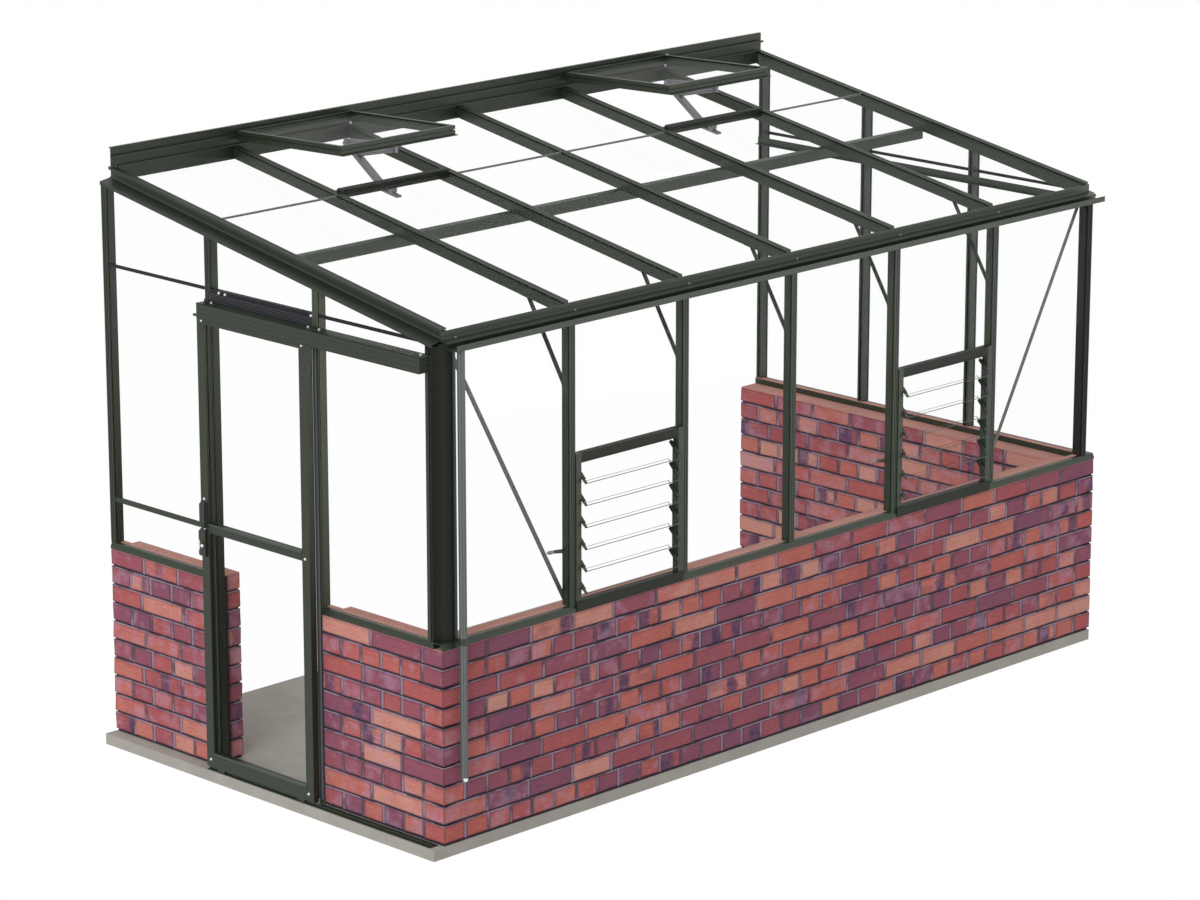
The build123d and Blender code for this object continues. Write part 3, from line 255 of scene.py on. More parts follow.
def bedding(name, dark, light, depth, spread=(0.1, 0.9)):
    """Sand and cement: grains over slow blotches; spread gives the noise levels of all dark and all light."""
    mix = Finish(name)
    sand = mix.noise(520.0, 4.0)
    blotch = mix.noise(9.0, 4.0).limits(*spread)
    shade = mix.blend(dark, light, 0.4 * sand + 0.6 * blotch)
    rough = 0.8 + 0.15 * sand
    normal = mix.bump(sand, depth)
    return mix.surface(base_color=shade, roughness=rough, normal=normal, specular_ior_level=0.12)


MIRROR_SHARE = 0.002
GRAZING_SHARE = 0.05


def clear_glass(name, tint):
    """Clear sheet glass: see-through, with a small mirror share that rises to the grazing angles."""
    pane = Finish(name)
    through = pane.node("ShaderNodeBsdfTransparent", {}, {"Color": tint})
    sockets = {"Base Color": (0.96, 0.98, 0.97, 1.0), "Metallic": 1.0, "Roughness": 0.01}
    mirror = pane.node("ShaderNodeBsdfPrincipled", {}, sockets)
    slant = pane.node("ShaderNodeLayerWeight", {}, {"Blend": 0.5}, out="Facing")
    square = slant * slant
    share = MIRROR_SHARE + GRAZING_SHARE * square * square * slant
    return pane.close(pane.node("ShaderNodeMixShader", {}, {0: share, 1: through, 2: mirror}))


frame_green = painted("frame_paint", rgba(26, 34, 23), rgba(35, 44, 31))
# Corner post paint: a darker copy of the frame paint, painted shade for the deep concave cove of the posts.
post_shade_green = painted("post_painted_shade", rgba(15, 17, 14), rgba(24, 27, 22), 0.5, 0.22)
# Dark purple-black paint: a dark seal colour, darkened further as painted shade; used on the door head, the
# slam bars' tops and the strips above the door.
dark_seal_and_shade = painted("dark_seal_and_painted_shade", rgba(20, 18, 24), rgba(33, 30, 38), 0.5, 0.25)
# Purlin paint: a lighter copy of the frame paint, painted light.
purlin_lit_green = painted("purlin_painted_light", rgba(36, 45, 32), rgba(46, 55, 41))
# A lighter copy of the frame paint: painted light on the shaded front jamb and a painted highlight on the
# door's beads.
lit_bead_green = painted("bead_painted_light", rgba(58, 66, 53), rgba(70, 78, 64))
strap_green = painted("strap_paint", rgba(70, 78, 66), rgba(84, 92, 79))
joint_grey = painted("roof_joints", rgba(112, 115, 113), rgba(128, 131, 129))
louvre_green = painted("louvre_paint", rgba(17, 21, 15), rgba(26, 31, 23), 0.5, 0.22)
seal_grey = moulded("seal_rubber", rgba(58, 55, 62), rgba(80, 76, 84))
fitting_black = moulded("fitting_black", rgba(30, 31, 31), rgba(44, 46, 45), 0.42)
pipe_grey = moulded("pipe_plastic", rgba(86, 92, 90), rgba(106, 110, 110), 0.36)
zinc = plated("zinc_heads", rgba(226, 226, 230), 0.26)
drawn_steel = plated("opener_metal", rgba(72, 70, 76), 0.34)
brick_face = fired_clay()
mortar_grey = bedding("mortar_joints", rgba(74, 58, 70), rgba(156, 142, 160), 0.0006, (0.40, 0.56))
# Shadow-toned mortar: painted shade for the recess under each course.
mortar_shade = bedding("mortar_shadow", rgba(46, 36, 46), rgba(70, 58, 70), 0.0008)
wall_head = bedding("wall_head", rgba(168, 118, 108), rgba(192, 144, 132), 0.0006)
concrete = bedding("base_concrete", rgba(154, 149, 141), rgba(178, 174, 166), 0.0005)
sheet_glass = clear_glass("sheet_glass", (0.994, 0.996, 0.995, 1.0))
cut_edge = moulded("glass_edges", rgba(70, 78, 74), rgba(104, 112, 108), 0.3)
# Rib stripes: a darker pipe colour, painted shade for the ribs round the pipe.
pipe_rib_shade = moulded("pipe_rib_painted_shade", rgba(62, 66, 66), rgba(78, 82, 82), 0.36)
# White at the pipe's foot: a painted highlight.
pipe_end_highlight = moulded("pipe_painted_highlight", rgba(214, 216, 214), rgba(236, 237, 236), 0.36)
trim_grey = moulded("blade_trims", rgba(66, 70, 70), rgba(84, 88, 88), 0.3)
# Jamb seals: a lighter copy of the seal rubber, painted light to lift them out of the door's shade.
seal_lit_grey = moulded("jamb_seals_painted_light", rgba(102, 100, 105), rgba(118, 116, 121), 0.4)
lever_dark = moulded("lever_arms", rgba(62, 62, 63), rgba(80, 80, 81), 0.36)
lever_grey = moulded("lever_grey", rgba(112, 112, 114), rgba(150, 150, 152), 0.36)

SLOT_FINISH = {
    "concrete": concrete,
    "brick": brick_face,
    "frame_paint": frame_green,
    "glass": sheet_glass,
    "dark_fittings": fitting_black,
    "opener_metal": drawn_steel,
    "pipe_plastic": pipe_grey,
}
NODE_FINISH = {
    # The corner posts take the darker copy of the frame paint as painted shade.
    "front_corner_posts": post_shade_green,
    # The door head, under the track: its dark finish is painted shade.
    "door_head": dark_seal_and_shade,
    # The purlin takes the lighter copy of the frame paint as painted light.
    "purlin": purlin_lit_green,
}
for entry in frame["record"]["subparts"]:
    mesh = nodes[entry["node"]].data
    mesh.materials.clear()
    mesh.materials.append(NODE_FINISH.get(entry["node"], SLOT_FINISH[entry["material_slot"]]))


SIDEWAYS = 0.2
UPWARD = 0.9
EDGE_LIMIT = 0.006
PIPE_END = 0.36
PIPE_RIBS = 8
RIB_SHARE = 0.2
HIGH_STRIPS = (1.95, 2.02)
ROOF_STRIPS = 2.1
FRONT_JAMB = -0.1


def refinish(node, finish, chosen):
    """Give another finish to the faces of a node for which chosen(face, corners) holds."""
    mesh = nodes[node].data
    mesh.materials.append(finish)
    index = len(mesh.materials) - 1
    for face in mesh.polygons:
        corners = np.array([mesh.vertices[corner].co for corner in face.vertices])
        if chosen(face, corners):
            face.material_index = index


def shortest_side(corners):
    """Length of a face's shortest side."""
    return np.linalg.norm(corners - np.roll(corners, 1, 0), axis=1).min()


def rib_shade_side(face):
    """Whether a face of the pipe looks towards one of the ribs round it, which are painted darker as shade.
    """
    turn = np.arctan2(face.normal.y, face.normal.x)
    return abs(face.normal.z) < SIDEWAYS and np.cos(PIPE_RIBS * turn) > RIB_SHARE


def in_high_strips(corners):
    """Whether a face lies in the strips above the door's head."""
    return HIGH_STRIPS[0] < corners[:, 2].mean() < HIGH_STRIPS[1]


def at_pipe_end(face, corners):
    """Whether a face lies low on the pipe and looks down."""
    return corners[:, 2].max() < PIPE_END and face.normal.z < -SIDEWAYS


refinish("louvre_blades", cut_edge, lambda face, corners: shortest_side(corners) < EDGE_LIMIT)
# Up-facing tops of the slam bars: a rubber seal, darkened further as painted shade.
refinish("vent_slam_bars", dark_seal_and_shade, lambda face, corners: face.normal.z > UPWARD)
# Glazing strips above the door: dark rubber, darkened further as painted shade under the head.
refinish("glazing_strips", dark_seal_and_shade, lambda face, corners: in_high_strips(corners))
# Front jamb faces in the lighter paint: painted light on the jamb in the door's shade.
refinish("left_end_mullions", lit_bead_green, lambda face, corners: corners[:, 1].mean() < FRONT_JAMB)
refinish("glazing_strips", joint_grey, lambda face, corners: corners[:, 2].mean() > ROOF_STRIPS)
# Dark stripes round the pipe: painted shade of its ribs.
refinish("downpipe", pipe_rib_shade, lambda face, corners: rib_shade_side(face))
# Down-facing faces at the pipe's foot in white: a painted highlight.
refinish("downpipe", pipe_end_highlight, at_pipe_end)

# Shapes
rng = np.random.default_rng(41)


def add_piece(name, points, faces, finish, body, slot):
    """Make a mesh piece from arrays of points and faces, and let it ride on a body."""
    mesh = bpy.data.meshes.new(name)
    mesh.from_pydata(np.asarray(points, float).tolist(), [], [list(face) for face in faces])
    mesh.materials.append(finish)
    mesh.update()
    piece = bpy.data.objects.new(name, mesh)
    bpy.context.scene.collection.objects.link(piece)
    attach(piece, body)
    return piece


TEMPLATE_INSET = 0.1


def block_template():
    """Corner signs and outward faces of a box with chamfered edges: 24 points, 26 faces.

    Each corner has three points, one for each face that meets there.
    """
    signs = np.array([[x, y, z] for x in (-1, 1) for y in (-1, 1) for z in (-1, 1)], float)
    corner = {tuple(sign): index for index, sign in enumerate(signs.astype(int).tolist())}
    faces = []
    for axis in range(3):
        one, two = [other for other in range(3) if other != axis]
        for side in (-1, 1):
            ring = []
            for a, b in ((-1, -1), (1, -1), (1, 1), (-1, 1)):
                spot = [0, 0, 0]
                spot[axis], spot[one], spot[two] = side, a, b
                ring.append(3 * corner[tuple(spot)] + axis)
            faces.append(ring)
        for a in (-1, 1):
            for b in (-1, 1):
                spot = [0, 0, 0]
                spot[one], spot[two] = a, b
                ends = []
                for side in (-1, 1):
                    spot[axis] = side
                    ends.append(3 * corner[tuple(spot)])
                faces.append([ends[0] + one, ends[1] + one, ends[1] + two, ends[0] + two])
    faces += [[3 * index, 3 * index + 1, 3 * index + 2] for index in range(8)]
    points = (signs[:, None, :] * (1.0 - TEMPLATE_INSET * (1.0 - np.eye(3)))[None]).reshape(-1, 3)
    turned = []
    for face in faces:
        ring = points[face]
        normal = np.cross(ring[1] - ring[0], ring[2] - ring[0])
        turned.append(face if normal @ ring.mean(0) > 0 else face[::-1])
    return signs, turned


BLOCK_SIGNS, BLOCK_FACES = block_template()
BLOCK_POINTS = 3 * len(BLOCK_SIGNS)


def blocks(lows, highs, chamfer, wobble=0.0):
    """Chamfered boxes between corner arrays: centre + sign * (half size - chamfer off the other two axes).

    wobble is the most by which a corner moves at random along each axis.
    """
    lows = np.asarray(lows, float).reshape(-1, 3)
    highs = np.asarray(highs, float).reshape(-1, 3)
    middle = (lows + highs) / 2
    half = (highs - lows) / 2
    inset = chamfer * (1.0 - np.eye(3))
    reach = half[:, None, None, :] - inset[None, None]
    points = middle[:, None, None, :] + BLOCK_SIGNS[None, :, None, :] * reach
    points = points + rng.uniform(-wobble, wobble, (len(lows), len(BLOCK_SIGNS), 1, 3))
    faces = []
    for index in range(len(lows)):
        faces += [[BLOCK_POINTS * index + corner for corner in face] for face in BLOCK_FACES]
    return points.reshape(-1, 3), faces


def ring_faces(rows, segments):
    """Quads between neighbouring rings of points and a cap on the first and last ring."""
    step = np.arange(segments)
    after = (step + 1) % segments
    low = segments * np.arange(rows - 1)[:, None]
    quads = np.stack([low + step, low + after, low + segments + after, low + segments + step], -1)
    caps = [((rows - 1) * segments + step).tolist(), step[::-1].tolist()]
    return quads.reshape(-1, 4).tolist() + caps


def join(shapes):
    """One shape from several (points, faces)."""
    points, faces = [], []
    offset = 0
    for more_points, more_faces in shapes:
        faces += [[corner + offset for corner in face] for face in more_faces]
        points.append(more_points)
        offset += len(more_points)
    return np.concatenate(points), faces


def turned_heads(centres, normal, profile, segments=14):
    """Solids of revolution: each (radius, height) of the profile swept round an axis at every centre."""
    normal = np.asarray(normal, float)
    side = np.cross(normal, UP if abs(normal[2]) < UPWARD else RIGHT)
    side /= np.linalg.norm(side)
    other = np.cross(normal, side)
    angle = np.linspace(0.0, 2.0 * pi, segments, endpoint=False)
    radius, height = np.asarray(profile, float).T
    ring = np.cos(angle)[:, None] * side + np.sin(angle)[:, None] * other
    shape = radius[:, None, None] * ring[None] + height[:, None, None] * normal
    centres = np.asarray(centres, float).reshape(-1, 3)
    faces = ring_faces(len(radius), segments)
    return join([((centre + shape).reshape(-1, 3), faces) for centre in centres])


def tube(path, radii, segments=12):
    """A circle of changing radius carried along a path.

    Each ring is point + radius * (cos a * side + sin a * other).
    """
    path = np.asarray(path, float)
    ahead = np.gradient(path, axis=0)
    ahead /= np.linalg.norm(ahead, axis=1, keepdims=True)
    side = np.cross(ahead, UP)
    side /= np.linalg.norm(side, axis=1, keepdims=True)
    other = np.cross(side, ahead)
    angle = np.linspace(0.0, 2.0 * pi, segments, endpoint=False)[:, None]
    ring = np.cos(angle) * side[:, None] + np.sin(angle) * other[:, None]
    points = (path[:, None] + np.asarray(radii)[:, None, None] * ring).reshape(-1, 3)
    return points, [face[::-1] for face in ring_faces(len(path), segments)]


# Brickwork
STRETCHER = 0.222
HEADER = 0.106
JOINT = 0.011
COURSES = 10
SKIN = 0.066
RECESS = 0.0016
BED_LIP = 0.0045
HEAD_BED = 0.003
CORE_INSET = 0.007
# END_LIGHT_TINT raises the bloom on the end walls and FAR_LIGHT_LIFT the tone of the far end wall: both are
# painted light.
END_LIGHT_TINT = 0.55
FAR_LIGHT_LIFT = 0.22
LENGTH_SPREAD = 0.05
CLOSER_SHARE = 0.75
PROUD = 0.0008
BURNT_SHARE = 0.15
PLUM_SHARE = 0.2
PLUM_TONE = 0.3
BRICK_CHAMFER = 0.0026
BRICK_WOBBLE = 0.0017
JOINT_CHAMFER = 0.0004

front_low, front_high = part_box("front_wall")
right_low, right_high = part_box("right_end_wall")
porch_low, porch_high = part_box("left_end_wall_front")
rear_low, rear_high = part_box("left_end_wall_rear")
wall_foot = front_low.z
wall_top = front_high.z
course_tall = (wall_top - wall_foot) / COURSES


def long_course(row):
    """English bond: long bricks in one course, ends of bricks in the next."""
    return row % 2 == 1


def lay(start, stop, row):
    """Brick ends along one course from start to stop; every other long course has short end bricks."""
    unit = STRETCHER if long_course(row) else HEADER
    count = max(1, round((stop - start + JOINT) / (unit + JOINT)))
    lengths = 1 + rng.uniform(-LENGTH_SPREAD, LENGTH_SPREAD, count)
    if row % 4 == 3:
        lengths[[0, -1]] *= CLOSER_SHARE
    lengths *= (stop - start - JOINT * (count - 1)) / lengths.sum()
    heads = start + np.concatenate([[0.0], np.cumsum(lengths[:-1] + JOINT)])
    return np.stack([heads, heads + lengths], 1)


def course_bed(row):
    """Height of the top of the bed joint under a course."""
    return wall_foot + row * course_tall + JOINT


def course_head(row):
    """Height of the top of the bricks in a course."""
    return wall_foot + (row + 1) * course_tall - (HEAD_BED if row == COURSES - 1 else 0.0)


def quoin_size(row):
    """Corner brick of a course: its length along the front and along the end."""
    if not long_course(row):
        return HEADER, HEADER
    return (STRETCHER, HEADER) if row % 4 == 1 else (HEADER, STRETCHER)


def wall_skin(start, stop, quoins=(None, None)):
    """Bricks and joints of one face as boxes (along, inward, up).

    quoins names, for each end, which side of a corner brick takes up room there: 0 front, 1 end.
    """
    bricks, joints = [], []
    for row in range(COURSES):
        near_quoin, far_quoin = (0.0 if side is None else quoin_size(row)[side] + JOINT for side in quoins)
        near = start + near_quoin
        far = stop - far_quoin
        ends = lay(near, far, row)
        low, high = course_bed(row), course_head(row)
        for first, last in ends:
            proud = rng.uniform(0.0, PROUD)
            bricks.append(((first, proud, low), (last, SKIN, high)))
        edges = list(ends[1:, 0] - JOINT)
        if near_quoin:
            edges.append(near - JOINT)
        if far_quoin:
            edges.append(far)
        for edge in edges:
            joints.append(((edge, RECESS, low), (edge + JOINT, SKIN, high)))
        # Bed joints are only a light lip at the bottom; above it the dark core shows as painted shade.
        if row:
            joints.append(((start, RECESS, low - JOINT), (stop, SKIN, low - JOINT + BED_LIP)))
    return np.array(bricks), np.array(joints)


def set_out(boxes, axis, face, inward):
    """Turn boxes (along, inward, up) into low and high corners in the model's frame."""
    along, deep, up = boxes[..., 0], face + inward * boxes[..., 1], boxes[..., 2]
    corners = np.stack([along, deep, up] if axis == 0 else [deep, along, up], -1)
    return corners.min(1), corners.max(1)


def fire(count, light_tint_floor, light_lift):
    """Random firing of bricks: tone, burnt share, bloom, the burnt band's place; some are plum all over.
    light_tint_floor raises the bloom as a painted tint of the light on the end walls, and light_lift raises
    the tone of the far end wall as painted light.
    """
    tone = rng.beta(1.5, 1.2, count)
    burnt = rng.random(count) < BURNT_SHARE
    burn = np.where(burnt, rng.uniform(0.5, 1.0, count), rng.uniform(0.0, 0.4, count))
    bloom = light_tint_floor + (1.0 - light_tint_floor) * rng.random(count)
    plum = rng.random(count) < PLUM_SHARE
    tone = np.where(plum, PLUM_TONE * tone, tone) + light_lift
    centre = rng.random(count)
    return np.stack([tone, burn, bloom, centre], 1)


def brick_places(lows, highs):
    """Place on its own face of every block point: metres along and up from the middle, then the half sizes.

    The faces that look along x, y and z run along y, x and x, and up z, z and y.
    """
    along, up = [1, 0, 0], [2, 2, 1]
    half = np.repeat((highs - lows)[:, None, :] / 2, len(BLOCK_SIGNS), axis=1)
    spot = BLOCK_SIGNS[None] * half
    return np.stack([spot[..., along], spot[..., up], half[..., along], half[..., up]], -1)


def add_bricks(name, corners, wall, light_tint_floor, light_lift):
    """Add the bricks of a wall as one piece, each brick with its own firing."""
    lows = np.concatenate([low for low, _ in corners])
    highs = np.concatenate([high for _, high in corners])
    points, faces = blocks(lows, highs, BRICK_CHAMFER, BRICK_WOBBLE)
    piece = add_piece(name, points, faces, brick_face, HOUSE, "brick")
    fired = np.repeat(fire(len(lows), light_tint_floor, light_lift), BLOCK_POINTS, axis=0)
    for key, values in (("firing", fired), ("place", brick_places(lows, highs))):
        attribute = piece.data.attributes.new(key, "FLOAT_COLOR", "POINT")
        attribute.data.foreach_set("color", values.ravel())
    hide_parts(wall)


def add_joints(name, corners, finish):
    """Add the joints, the core or the head bed of a wall as one piece."""
    lows = np.concatenate([low for low, _ in corners])
    highs = np.concatenate([high for _, high in corners])
    points, faces = blocks(lows, highs, JOINT_CHAMFER)
    add_piece(name, points, faces, finish, HOUSE, "brick")


def quoin(x_face, x_inward):
    """Corner bricks of the front."""
    boxes = []
    for row in range(COURSES):
        wide, deep = quoin_size(row)
        ends = sorted((x_face, x_face + x_inward * wide))
        low = (ends[0], front_low.y, course_bed(row))
        boxes.append((low, (ends[1], front_low.y + deep, course_head(row))))
    boxes = np.array(boxes)
    return boxes[:, 0], boxes[:, 1]


# Label, node, axis, start and stop along it, outer and inner face, corner bricks at either end
wall_list = (
    ("front", "front_wall", 0, front_low.x, front_high.x, front_low.y, front_high.y, (0, 0)),
    ("right_end", "right_end_wall", 1, front_low.y, right_high.y, right_high.x, right_low.x, (1, None)),
    ("porch", "left_end_wall_front", 1, front_low.y, porch_high.y, porch_low.x, porch_high.x, (1, None)),
    ("rear", "left_end_wall_rear", 1, rear_low.y, rear_high.y, rear_low.x, rear_high.x, (None, None)),
)
for label, wall, axis, start, stop, outer, inner, quoins in wall_list:
    inward = 1.0 if inner > outer else -1.0
    wall_low, wall_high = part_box(wall)
    inner_start = wall_low.x + (inner - outer) if axis == 0 else wall_low.y
    inner_stop = wall_high.x - (inner - outer) if axis == 0 else wall_high.y
    outer_bricks, outer_joints = wall_skin(start, stop, quoins)
    inner_bricks, inner_joints = wall_skin(inner_start, inner_stop)
    brick_corners = [set_out(outer_bricks, axis, outer, inward), set_out(inner_bricks, axis, inner, -inward)]
    joint_corners = [set_out(outer_joints, axis, outer, inward), set_out(inner_joints, axis, inner, -inward)]
    if label == "front":
        brick_corners += [quoin(front_low.x, 1.0), quoin(front_high.x, -1.0)]
    # End walls get a higher bloom floor: a painted tint of the light from the left.
    light_tint_floor = 0.0 if axis == 0 else END_LIGHT_TINT
    # The far end wall gets a lifted tone: painted light.
    light_lift = FAR_LIGHT_LIFT if label == "right_end" else 0.0
    add_bricks(f"{label}_bricks", brick_corners, wall, light_tint_floor, light_lift)
    add_joints(f"{label}_mortar", joint_corners, mortar_grey)
    core_low = np.array(wall_low) + (CORE_INSET, CORE_INSET, 0.0)
    core_high = np.array(wall_high) - (CORE_INSET, CORE_INSET, HEAD_BED)
    if axis == 1 and label != "rear":
        core_low[1] -= CORE_INSET
    # The dark core shows in the bed joints above the light lip: painted shade under each course.
    add_joints(f"{label}_core", [(core_low[None], core_high[None])], mortar_shade)
    cap_low = np.array((wall_low.x + RECESS, wall_low.y + RECESS, wall_top - HEAD_BED))
    cap_high = np.array((wall_high.x - RECESS, wall_high.y - RECESS, wall_top))
    add_joints(f"{label}_head", [(cap_low[None], cap_high[None])], wall_head)

# Fixings, seals and small trim of the frame and the door
DOME = ((0.0056, 0.0), (0.0056, 0.0012), (0.0046, 0.0014), (0.0046, 0.0042), (0.0026, 0.0056))
STUB = ((0.0055, 0.0), (0.0055, 0.036), (0.0035, 0.039))
KNOB = ((0.0070, 0.0), (0.0070, 0.006), (0.0040, 0.008))
TRACK_BOLTS = (0.283, -0.276, -0.338, -0.896)
HEAD_BOLTS = (0.267, 0.231, -0.264)
HEAD_BOLT_DROP = 0.010
LEAF_BOLTS = ((0.322, 1.160), (0.322, 1.036), (-0.265, 1.038), (0.318, 0.093), (-0.262, 0.092))
HANGER_BOLTS = (0.314, -0.265)
HANGER_DROP = 0.006
STUB_INSET = 0.018
STUB_RISE = 0.007
LOCK_KNOB = (0.326, 0.972)
LOCK_PROUD = 0.011
PLATE_BOLTS = ((-0.615, 2.422), (-0.629, 2.378), (1.250, 2.424), (1.239, 2.380))
FAR_BOLT = (-0.2895, 2.0857)
TRACK_BOLT_INSET = 0.035
TRACK_SHORT = 0.027
TRACK_WALL = 0.003
TRACK_LEDGE = 0.020
TRACK_LEDGE_RISE = 0.024

leaf_low, leaf_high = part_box("door_stiles")
plate_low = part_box("wall_plate")[0]
far_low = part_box("right_end_mullions")[0]
track_low, track_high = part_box("door_top_track")
head_low, head_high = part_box("door_head")
jamb_low, jamb_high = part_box("left_end_mullions")
track_middle = track_low.x + TRACK_BOLT_INSET
track_front = track_low.y + TRACK_SHORT
stub_centre = (track_low.x + STUB_INSET, track_high.y, track_low.z + STUB_RISE)
head_bolt_z = head_high.z - HEAD_BOLT_DROP
hanger_z = track_low.z - HANGER_DROP
# Label, axis, profile, finish, body, centres
heads = (
    ("track_bolts", UP, DOME, zinc, HOUSE, [(track_middle, y, track_high.z) for y in TRACK_BOLTS]),
    ("head_bolts", LEFT, DOME, zinc, HOUSE, [(head_low.x, y, head_bolt_z) for y in HEAD_BOLTS]),
    ("leaf_bolts", LEFT, DOME, zinc, DOOR, [(leaf_low.x, y, z) for y, z in LEAF_BOLTS]),
    ("hanger_bolts", LEFT, DOME, zinc, DOOR, [(leaf_low.x, y, hanger_z) for y in HANGER_BOLTS]),
    ("track_stub", REAR, STUB, fitting_black, HOUSE, [stub_centre]),
    ("lock_knob", LEFT, KNOB, zinc, DOOR, [(leaf_low.x - LOCK_PROUD, *LOCK_KNOB)]),
    ("plate_bolts", FRONT, DOME, zinc, HOUSE, [(x, plate_low.y, z) for x, z in PLATE_BOLTS]),
    ("far_end_bolt", LEFT, DOME, zinc, HOUSE, [(far_low.x, *FAR_BOLT)]),
)
for label, axis, profile, finish, body, centres in heads:
    points, faces = turned_heads(centres, axis, profile)
    add_piece(label, points, faces, finish, body, "frame_paint")

SEAL = 0.0015
BAR_HALF = 0.015
HAUNCH = 0.027
HAUNCH_RISE = 0.0012
POST_HEAD = 1.955
POST_WIDE = 0.079
FLANGE_PROUD = 0.0008
SIDE_FLANGE = 0.017
FRONT_FLANGE = 0.015
EAVES = 2.034
PLUG_HALF = 0.0135
PLUG_PROUD = 0.002
PLUG_DROPS = (0.018, 0.0035)
NECK_SIDES = (0.0425, 0.0450)
NECK_AHEAD = (0.012, 0.004)
NECK_HEIGHTS = (1.982, 1.996)
STOP_ENDS = (0.306, 0.322)
STOP_WIDE = 0.004
STOP_TALL = 0.014
TRACK_RIBS = (0.002, 0.020, 0.040)
TOP_RIB_DROP = 0.004
RIB_TALL = 0.003
RIB_PROUD = 0.0012
HEAD_RIB_RISE = 0.004
HEAD_RIB_DROP = 0.022
BRUSH_PROUD = 0.018
FRONT_BRUSH = (0.018, 0.021)
# Black strips beside the jambs' seals: painted shade of the gaps.
FRONT_GAP_SHADE = (-0.013, -0.006)
REAR_GAP_SHADE = (-0.015, -0.005)
FRONT_SEAL = (-0.006, 0.016)
REAR_SEAL = (-0.004, 0.0)
STILE_WIDE = 0.044
GROOVES = (1.043, 0.078, 0.100)
GROOVE_TALL = 0.005
GROOVE_PROUD = 0.0006
BEADS = (1.056, 0.113)
BEAD_TALL = 0.009
BEAD_PROUD = 0.003
HANDLE_COVER = ((0.304, 1.048), (0.350, 1.138))
HANDLE_PROUD = 0.006
LOCK_COVER = ((0.312, 0.930), (0.351, 1.030))
LOCK_PLATE = ((0.343, 0.952), (0.350, 0.992))
PLATE_PROUD = 0.0125
MULLIONS = 5
HEAD_RIBS = 4

sill_low, sill_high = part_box("front_sill")
sill_top = sill_high.z
sill_deep = sill_high.y - sill_low.y
post_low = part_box("front_corner_posts")[0]
post_right = post_low.x + POST_WIDE
post_rear = post_low.y + POST_WIDE
mullion_low, mullion_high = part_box("front_mullions")
bars_x = np.linspace(mullion_low.x + BAR_HALF, mullion_high.x - BAR_HALF, MULLIONS)
bay = bars_x[1] - bars_x[0]
rafter_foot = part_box("rafters")[0].y
jamb_front = jamb_low.y + BAR_HALF
jamb_rear = jamb_high.y - BAR_HALF


def jamb_strip(proud, middle, span):
    """Corners of an upright strip on a jamb's outer face; span is measured from the jamb's middle line."""
    low = (jamb_low.x - proud, middle + span[0], leaf_low.z)
    return low, (jamb_low.x, middle + span[1], head_low.z)


def leaf_strip(proud, height, tall):
    """Corners of a level strip between the stiles of the door."""
    low = (leaf_low.x - proud, leaf_low.y + STILE_WIDE, height)
    return low, (leaf_low.x, leaf_high.y - STILE_WIDE, height + tall)


def leaf_plate(front, back, span):
    """Corners of a plate on the door's outer face, between two depths ahead of it."""
    return (leaf_low.x - front, *span[0]), (leaf_low.x - back, *span[1])


def track_rib(rise):
    """Corners of a level rib on the track's outer face."""
    low = (track_low.x - RIB_PROUD, track_front, track_low.z + rise)
    return low, (track_low.x, track_high.y, track_low.z + rise + RIB_TALL)


def sill_haunch(near, far):
    """Corners of a mortar fillet on a sill, from its near to its far corner on plan."""
    return (*near, sill_top - SEAL), (*far, sill_top + HAUNCH_RISE)


